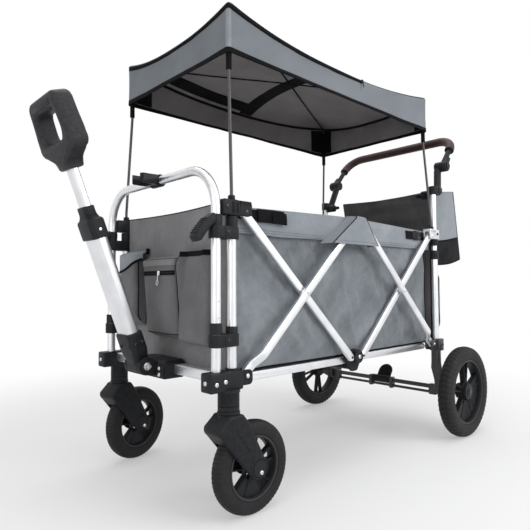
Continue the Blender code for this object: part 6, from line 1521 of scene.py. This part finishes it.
BEND, BEND_Z, FLAP_Y = 0.42, 0.545, 0.153
flap_rows = []
for v in levels(0, 1, 26):
    bend = min(1.0, v / BEND)
    row = []
    for y in levels(FLAP_Y - 0.05, FLAP_Y + 0.05, 34):
        side_way = (y - FLAP_Y) / 0.05
        low = 0.5115 + 0.007 * side_way ** 2 - 0.0165 * side_way
        z = BEND_Z + 0.012 * (1 - bend) if v < BEND else BEND_Z + (low - BEND_Z) * (v - BEND) / (1 - BEND)
        bulge = 0.0345 * sin(bend * pi / 2) * (1 - 0.55 * abs(side_way) ** 6)
        row.append((-0.003 - bulge - 0.0015 * ruffle(y * 30, z * 30, 2.0), y, z))
    flap_rows.append(row)
flap = cloth("pocket_flap", cloth_mesh(flap_rows, 0.0014), BAND_CLOTH, "front_carriage", DARK_LINING)
hem = [cord(flap_rows[-1], 0.003), soft_block((-0.0085, 0.099, 0.547), (-0.001, 0.105, 0.562), 0.001)]
piece("pocket_flap_binding", hem, BINDING, "front_carriage")

lid = cloth("zip_pocket_lid", cloth_mesh(pouch_rows(zip_pocket, 0.515, 0.5372, -1, 12, 0.0012)), FRONT_CLOTH,
            "front_carriage")


def zip_chain(path, outward, width=0.0105):
    """A closed coil zip along a path: its tape and the row of its teeth, as two meshes."""
    path = [Vector(p) for p in path]
    last = len(path) - 1
    sideways = [Vector(outward).cross(path[min(i + 1, last)] - path[max(i - 1, 0)]).normalized() * width / 2
                for i in range(len(path))]
    tape = cloth_mesh([[p + w * way for p, w in zip(path, sideways)] for way in (-1, 0, 1)], 0.0012)
    return tape, stitch_row([p + Vector(outward) * 0.0012 for p in path], outward, 0.002, 0.0015)


def zip_puller(spot, outward, hang, ring=False):
    """A zip slider with its tab, and a ring where the photograph shows one, hanging along a direction."""
    parts = [soft_block((-0.0055, -0.0045, 0.0005), (0.0055, 0.0045, 0.0042), 0.0016),
             soft_block((0.001, -0.0013, 0.0036), (0.0165, 0.0013, 0.005), 0.0006)]
    if ring:
        parts.append(cord([(0.0225 + 0.0062 * cos(a), 0.004 * sin(a), 0.0044) for a in levels(0, 2 * pi, 25)],
                          0.0009))
    hang = Vector(hang).normalized()
    turn = Matrix((hang, Vector(outward).cross(hang).normalized(), outward)).transposed().to_4x4()
    return placed(merged(parts), at(*spot) @ turn)


ZIP_METAL = anodised("zip_metal", (0.6, 0.6, 0.61), (0.72, 0.72, 0.73), (0.18, 0.3))
ZIP_Z = 0.4975
tape, teeth = zip_chain(zip_pocket(ZIP_Z, 0.001)[8:43], (-1, 0, 0))
piece("pocket_zip_tape", tape, BINDING, "front_carriage")
piece("pocket_zip_teeth", teeth, GLOSSY_NYLON, "front_carriage")
puller = zip_puller(Vector(zip_pocket(ZIP_Z)[26]) - Vector((0.001, 0.011, 0)), (-1, 0, 0), (0, 0.12, -1), True)
piece("pocket_zip_puller", puller, ZIP_METAL, "front_carriage")
elastic = cloth("tall_pocket_elastic", cloth_mesh(pouch_rows(tall_pocket, 0.532, 0.5435, -1, 5, 0.001), 0.0018),
                BINDING, "front_carriage")

# Rear wall and storage pouch
# The rear wall is a dark panel between the posts, with a boxed storage pouch of the grey cloth sewn behind
# it. A black zip runs round the pouch near the wall, with piping on its outer seams.
REAR_WALL_X, REAR_WALL_TOP = 0.837, WALL_TOP - 0.002
POUCH_LOW, POUCH_TOP = 0.286, 0.5315
rows = [[(REAR_WALL_X - 0.0002 + 0.0016 * creases(y * 1.4, z * 1.4, 51.0), y, z)
         for y in levels(-WALL_HALF, WALL_HALF, 90)] for z in levels(WALL_LOW, REAR_WALL_TOP, 70)]
wall = cloth("rear_wall_panel", cloth_mesh(rows), FRONT_CLOTH, "rear_carriage", DARK_LINING, "rear_wall")
edges = [cord([(REAR_WALL_X, y, z) for y in levels(-WALL_HALF, WALL_HALF, 12)], 0.0015)
         for z in (WALL_LOW, REAR_WALL_TOP)]
edges += [cord([(REAR_WALL_X, s * WALL_HALF, z) for z in levels(WALL_LOW, REAR_WALL_TOP, 12)], 0.0019)
          for s in (-1, 1)]
piece("rear_wall_binding", edges, BINDING, "rear_carriage")
rear_pouch = pouch(-0.1945, 0.1945, POUCH_LOW, POUCH_TOP, 0.114, 0.8385, 1, 57.0, foot=0.06, crown=0.045,
                   corner=0.22)
pocket = cloth("rear_pouch_shell", cloth_mesh(pouch_rows(rear_pouch, POUCH_LOW, POUCH_TOP, 1, 60)), GREY_CLOTH,
               "rear_carriage", DARK_LINING)
trims = [cord([rear_pouch(z, 0.0008)[j] for z in levels(POUCH_LOW + 0.004, POUCH_TOP - 0.004, 40)], 0.0022)
         for j in (3, 49)]
piece("rear_pouch_piping", trims, BINDING, "rear_carriage")
for side, s in SIDES:
    path = [(0.874, s * 0.1958, z) for z in levels(POUCH_LOW + 0.03, POUCH_TOP - 0.028, 40)]
    tape, teeth = zip_chain(path, (0, s, 0))
    piece("rear_zip_tape_" + side, tape, BINDING, "rear_carriage")
    piece("rear_zip_teeth_" + side, teeth, GLOSSY_NYLON, "rear_carriage")

# Rear bag
# An open bag hung from the handle's clamps: a dark panel between the knobs, light grey polyester round the
# other three sides, and a lower band of black net bound at its upper edge. It sags between its corners.
BAG_CLOTH = woven("bag_polyester", (0.078, 0.074, 0.077), (0.128, 0.124, 0.129))
NET = woven("black_net", (0.014, 0.014, 0.016), (0.034, 0.034, 0.038), 95.0, 0.0011, 0.0, 0.1)
BAG_HALF, BAG_INNER = 0.2035, 0.146
BAG_TOP, BAG_FOOT = ((0.851, 0.77), (1.015, 0.79)), ((0.8895, 0.533), (1.056, 0.557))
BEFORE = 1e-6


def bag_point(turn, t, out=0.0):
    """A point of the bag's wall: turn runs 0..4 over its four sides, t from its foot to its mouth."""
    side_no, along = int(turn) % 4, turn % 1
    inner, outer = (Vector((foot[0], 0, foot[1])).lerp(Vector((top[0], 0, top[1])), t)
                    for foot, top in zip(BAG_FOOT, BAG_TOP))
    corners = [inner - ALONG_Y * BAG_HALF, outer - ALONG_Y * BAG_HALF, outer + ALONG_Y * BAG_HALF,
               inner + ALONG_Y * (BAG_INNER - 0.01 * (1 - t))]
    point = corners[side_no].lerp(corners[(side_no + 1) % 4], along)
    outward = (-ALONG_Y, ALONG_X, ALONG_Y, -ALONG_X)[side_no]
    bow_share, wide, front = sin(pi * along), side_no % 2 == 1, side_no == 3
    belly = bow_share ** 0.8 * sin(pi * min(1.0, 0.12 + t * 0.88))
    fold = creases(point.y if wide else point.x, point.z, 61.0 + side_no) * (0.004 if wide
                                                                             else 0.0026) * bow_share ** 0.5
    level = 0.0032 * sin(point.z * 120 + 4 * ruffle(point.y * 6, 0, 3)) * bow_share if front else 0.0
    point += outward * (belly * (0.0085 if wide else 0.0045) + fold + level + out)
    point.z -= (0.006 if front else 0.0075 if wide
                else 0.0015) * bow_share * t ** 3 + 0.006 * bow_share * (1 - t) ** 3
    return tuple(point)


def bag_ring(first, last, count, t, out=0.0):
    """Points along the bag's wall at one height, stopping just before the last side."""
    return [bag_point(turn, t, out) for turn in levels(first, last - BEFORE, count)]


for name, sides, span, columns, lines, thick, paint, lining, stands_for, flat, rests_on in (
        ("bag_dark_panel", (3, 4), (0.0, 1.0), 70, 40, 0.0012, BAG_CLOTH, DARK_LINING, "rear_bag",
         (0.412, 0.25), ["handle_arm_left", "handle_arm_right"]),
        ("bag_grey_wrap", (0, 3), (0.315, 1.0), 150, 34, 0.0012, BAND_CLOTH, DARK_LINING, None, (0.715, 0.17),
         ["bag_dark_panel"]),
        ("bag_net_band", (0, 3), (0.0, 0.325), 150, 18, 0.0016, NET, None, None, (0.725, 0.085),
         ["bag_grey_wrap"])):
    rows = [bag_ring(*sides, columns, t) for t in levels(*span, lines)]
    wall = cloth(name, cloth_mesh(rows, thick), paint, "rear_carriage", lining, stands_for)
    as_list(rests_on)
outline = [Vector(p) for p in bag_ring(0, 4, 120, 0.0)]
centre = sum(outline, Vector()) / len(outline)
rows = [[centre.lerp(p, share) - ALONG_Z * 0.01 * (1 - share ** 2) for p in outline]
        for share in levels(1.0, 0.004, 16)]
bottom = cloth("bag_bottom", cloth_mesh(rows, 0.0014, True), NET, "rear_carriage")
trims = [cord([bag_point(turn, t, 0.0005) for t in levels(0, 1, 24)], 0.0016)
         for turn in (0.0, 0.9999, 2.0, 2.9999)]
trims += [cord(bag_ring(0, 3, 120, t, 0.0008), r) for t, r in ((0.0, 0.002), (0.32, 0.0024))]
piece("bag_binding", trims, BINDING, "rear_carriage")
piece("bag_mouth_hem", cord(bag_ring(0, 3, 120, 1.0), 0.0019), BAND_CLOTH, "rear_carriage")
piece("bag_panel_hem", cord(bag_ring(3, 4, 50, 1.0), 0.0022), BAG_CLOTH, "rear_carriage")

# Canopy poles
# Four thin powder-coated steel rods stand in the bosses of the top brackets and lean in to the canopy. The
# head of each goes into a black sleeve sewn in the canopy's corner.
POLE_R, SLEEVE_LOW, POLE_TOP, POLE_LEAN_Y = 0.0035, 0.925, 1.0605, 0.2069
POLE_SLEEVE = [(0.0037, 0), (0.0058, 0), (0.0063, 0.0015), (0.0061, 0.02), (0.0066, 0.036), (0.0064, 0.12),
               (0.0037, 0.12)]
for end, foot_x, foot_z, top_x in (("front", 0.0, 0.6243, 0.0071),
                                   ("rear", POST_PITCH - 0.017, 0.6363, 0.8109)):
    for side, s in SIDES:
        path = [(foot_x, s * POST_Y, foot_z), (foot_x, s * POST_Y, 0.665), (top_x, s * POLE_LEAN_Y, 0.92),
                (top_x, s * POLE_LEAN_Y, POLE_TOP)]
        piece(f"canopy_pole_rod_{end}_{side}", round_rod(path, POLE_R), POWDER, end + "_carriage",
              stands_for=f"canopy_pole_{end}_{side}")
        piece(f"pole_sleeve_{end}_{side}", lathe(POLE_SLEEVE, 28), BINDING, end + "_carriage",
              at(top_x, s * POLE_LEAN_Y, SLEEVE_LOW), slot="black_steel")

# Canopy
# One sheet of grey polyester lined in dark cloth, drawn to a peak at each pole and sagging between them,
# with a deep valance bound in black. A zip along its front edges opens the front half of the roof.
CANOPY_LINING = woven("canopy_lining", (0.18, 0.166, 0.169), (0.235, 0.22, 0.224), 420.0)
VALANCE_CLOTH = woven("canopy_polyester", (0.176, 0.196, 0.217), (0.212, 0.234, 0.257))
CANOPY_X0, CANOPY_X1, CANOPY_HALF, CANOPY_LOW, CANOPY_PEAK = -0.002, 0.82, 0.2155, 0.9605, 1.0685
CANOPY_MID, CANOPY_REACH = (CANOPY_X0 + CANOPY_X1) / 2, (CANOPY_X1 - CANOPY_X0) / 2 - 0.0008
ROUND_X, ROUND_Y = 0.02, 0.038
CORNER_POINTS, SIDE_POINTS = 7, 50
ONE_SIDE = CORNER_POINTS + SIDE_POINTS
ZIP_BACK = 36
POCKET_PAST = 4
CORNERS = ((-1, -1), (1, -1), (1, 1), (-1, 1))


def roof_z(cx, cy):
    """Height of the roof over a place given from -1 to 1 along and across."""
    a = abs(cx) ** (2.8 if cx < 0 else 2.0)
    b = abs(cy) ** 2.4
    slack = 0.0016 * creases(cx * 0.35, cy * 0.3, 71.0) * (1 - max(abs(cx), abs(cy)) ** 6)
    return CANOPY_PEAK - 0.04 * max(0.0, b - a) - 0.027 * max(0.0, a - b) + slack


def roof_point(cx, cy, drop=0.0, inset=0.0):
    """A point of the roof, or some way under it or inside its edge."""
    return CANOPY_MID + cx * (CANOPY_REACH - inset), cy * (CANOPY_HALF - inset), roof_z(cx, cy) - drop


def valance_point(cx, cy, v, out=0.0):
    """A point of the valance, v from its hem to the roof's edge."""
    edge = roof_z(cx, cy) - 0.0035
    hem = CANOPY_LOW + 0.0012 * ruffle(cx * 4, cy * 3, 5.0)
    z = hem + (edge - hem) * v
    loose = 1 - max(0.0, abs(cx) + abs(cy) - 1) ** 3
    wave = 0.0026 * creases(cx * 0.41 + cy * 0.2, z * 1.4, 77.0) * loose - 0.0012 * sin(pi * v)
    along = Vector((cx if abs(cx) > 0.979 else 0.0, cy if abs(cy) > 0.961 else 0.0, 0)).normalized()
    return tuple(Vector((CANOPY_MID + cx * CANOPY_REACH, cy * CANOPY_HALF, z)) + along * (wave + out))


outline = []
for (sx, sy), (nx, ny) in zip(CORNERS, CORNERS[1:] + CORNERS[:1]):
    for k in range(CORNER_POINTS):
        a = atan2(sy, sx) - pi / 4 + pi / 2 * k / (CORNER_POINTS - 1)
        outline.append((sx * (1 - ROUND_X) + ROUND_X * cos(a), sy * (1 - ROUND_Y) + ROUND_Y * sin(a)))
    start, end = Vector(outline[-1]), Vector((nx if nx == sx else nx * (1 - ROUND_X),
                                              ny if ny == sy else ny * (1 - ROUND_Y)))
    outline += [tuple(start.lerp(end, t)) for t in levels(0, 1, SIDE_POINTS + 2)[1:-1]]
twice_round = outline + outline
rows = [[valance_point(cx, cy, v) for cx, cy in outline] for v in levels(0, 1, 22)]
rows += [[roof_point(cx, cy, drop, inset) for cx, cy in outline]
         for inset, drop in ((0.0012, 0.0016), (0.0034, 0.0003))]
rows += [[roof_point(cx * share, cy * share) for cx, cy in outline] for share in levels(0.98, 0.001, 40)]
canopy = cloth("canopy_cloth", cloth_mesh(rows, 0.0013, True), VALANCE_CLOTH, "front_carriage", CANOPY_LINING,
               "canopy_cover")
squashed(canopy, CANOPY_X0, CANOPY_X1)


def canopy_trim(name, mesh, paint):
    """A piece sewn to the canopy, with a mesh of its own."""
    return squashed(piece(name, mesh, paint, "front_carriage", smooth=60), CANOPY_X0, CANOPY_X1)


def valance_strip(spots, low, high, count, out, thick, closed=False):
    """A strip of cloth that follows the valance."""
    return cloth_mesh([[valance_point(cx, cy, v, out) for cx, cy in spots] for v in levels(low, high, count)],
                      thick, closed)


canopy_trim("canopy_binding", valance_strip(outline, -0.02, 0.085, 4, 0.0003, 0.0034, True), BINDING)
starts = [i * ONE_SIDE for i in range(4)]
strips = [valance_strip(outline[i:i + CORNER_POINTS], 0.09, 0.985, 16, 0.001, 0.001) for i in starts]
canopy_trim("canopy_corner_strips", strips, BAND_CLOTH)
pockets = []
for i in starts:
    first, last = 4 * ONE_SIDE + i - POCKET_PAST, 4 * ONE_SIDE + i + CORNER_POINTS + POCKET_PAST
    pockets.append(valance_strip(twice_round[first:last], 0.1, 0.94, 14, -0.0022, 0.0012))
canopy_trim("canopy_corner_pockets", pockets, BINDING)
seams = [cord([roof_point(sx * t, sy * t, 0.0016) for t in levels(0.015, 0.965, 60)], 0.0022) for sx in (-1, 1)
         for sy in (-1, 1)]
seams.append(cord([roof_point(cx * 0.99, cy * 0.985, 0.0045) for cx, cy in outline], 0.004))
canopy_trim("canopy_roof_seams", seams, BINDING)
bands = [[[roof_point(cx, cy, 0.0016) for cy in levels(0.97, -0.97, 70)] for cx in levels(-0.045, 0.075, 5)]]
bands += [[[roof_point(cx, s * cy, 0.0016) for cx in levels(-0.93, 0.0, 60)][::s]
           for cy in levels(0.76, 0.93, 5)] for s in (-1, 1)]
canopy_trim("canopy_webbing", [cloth_mesh(rows, 0.0013) for rows in bands], WEBBING)
zip_path = twice_round[2 * ONE_SIDE + ZIP_BACK:4 * ONE_SIDE + ZIP_BACK]
canopy_trim("canopy_zip_tape", valance_strip(zip_path, 0.885, 0.995, 4, 0.0012, 0.0011), BINDING)
teeth_path = [valance_point(cx, cy, 0.94, 0.0024) for cx, cy in zip_path]
turn_in, turn_out = ONE_SIDE - ZIP_BACK, 2 * ONE_SIDE - ZIP_BACK
along_sides = ((teeth_path[:turn_in], ALONG_Y), (teeth_path[turn_in + CORNER_POINTS - 1:turn_out + 1],
                                                 -ALONG_X),
               (teeth_path[turn_out + CORNER_POINTS - 1:], -ALONG_Y))
teeth = [stitch_row(part, way, 0.0022, 0.0014) for part, way in along_sides]
canopy_trim("canopy_zip_teeth", teeth, GLOSSY_NYLON)
sliders = [zip_puller(teeth_path[-1], (0, -1, 0), (0.25, 0, -1)),
           zip_puller(teeth_path[0], (0, 1, 0), (0.1, 0, -1)),
           zip_puller(roof_point(0, 0, 0.004), (-1, 0, 0), (0.1, 0, -1))]
canopy_trim("canopy_zip_sliders", sliders, GLOSSY_NYLON)
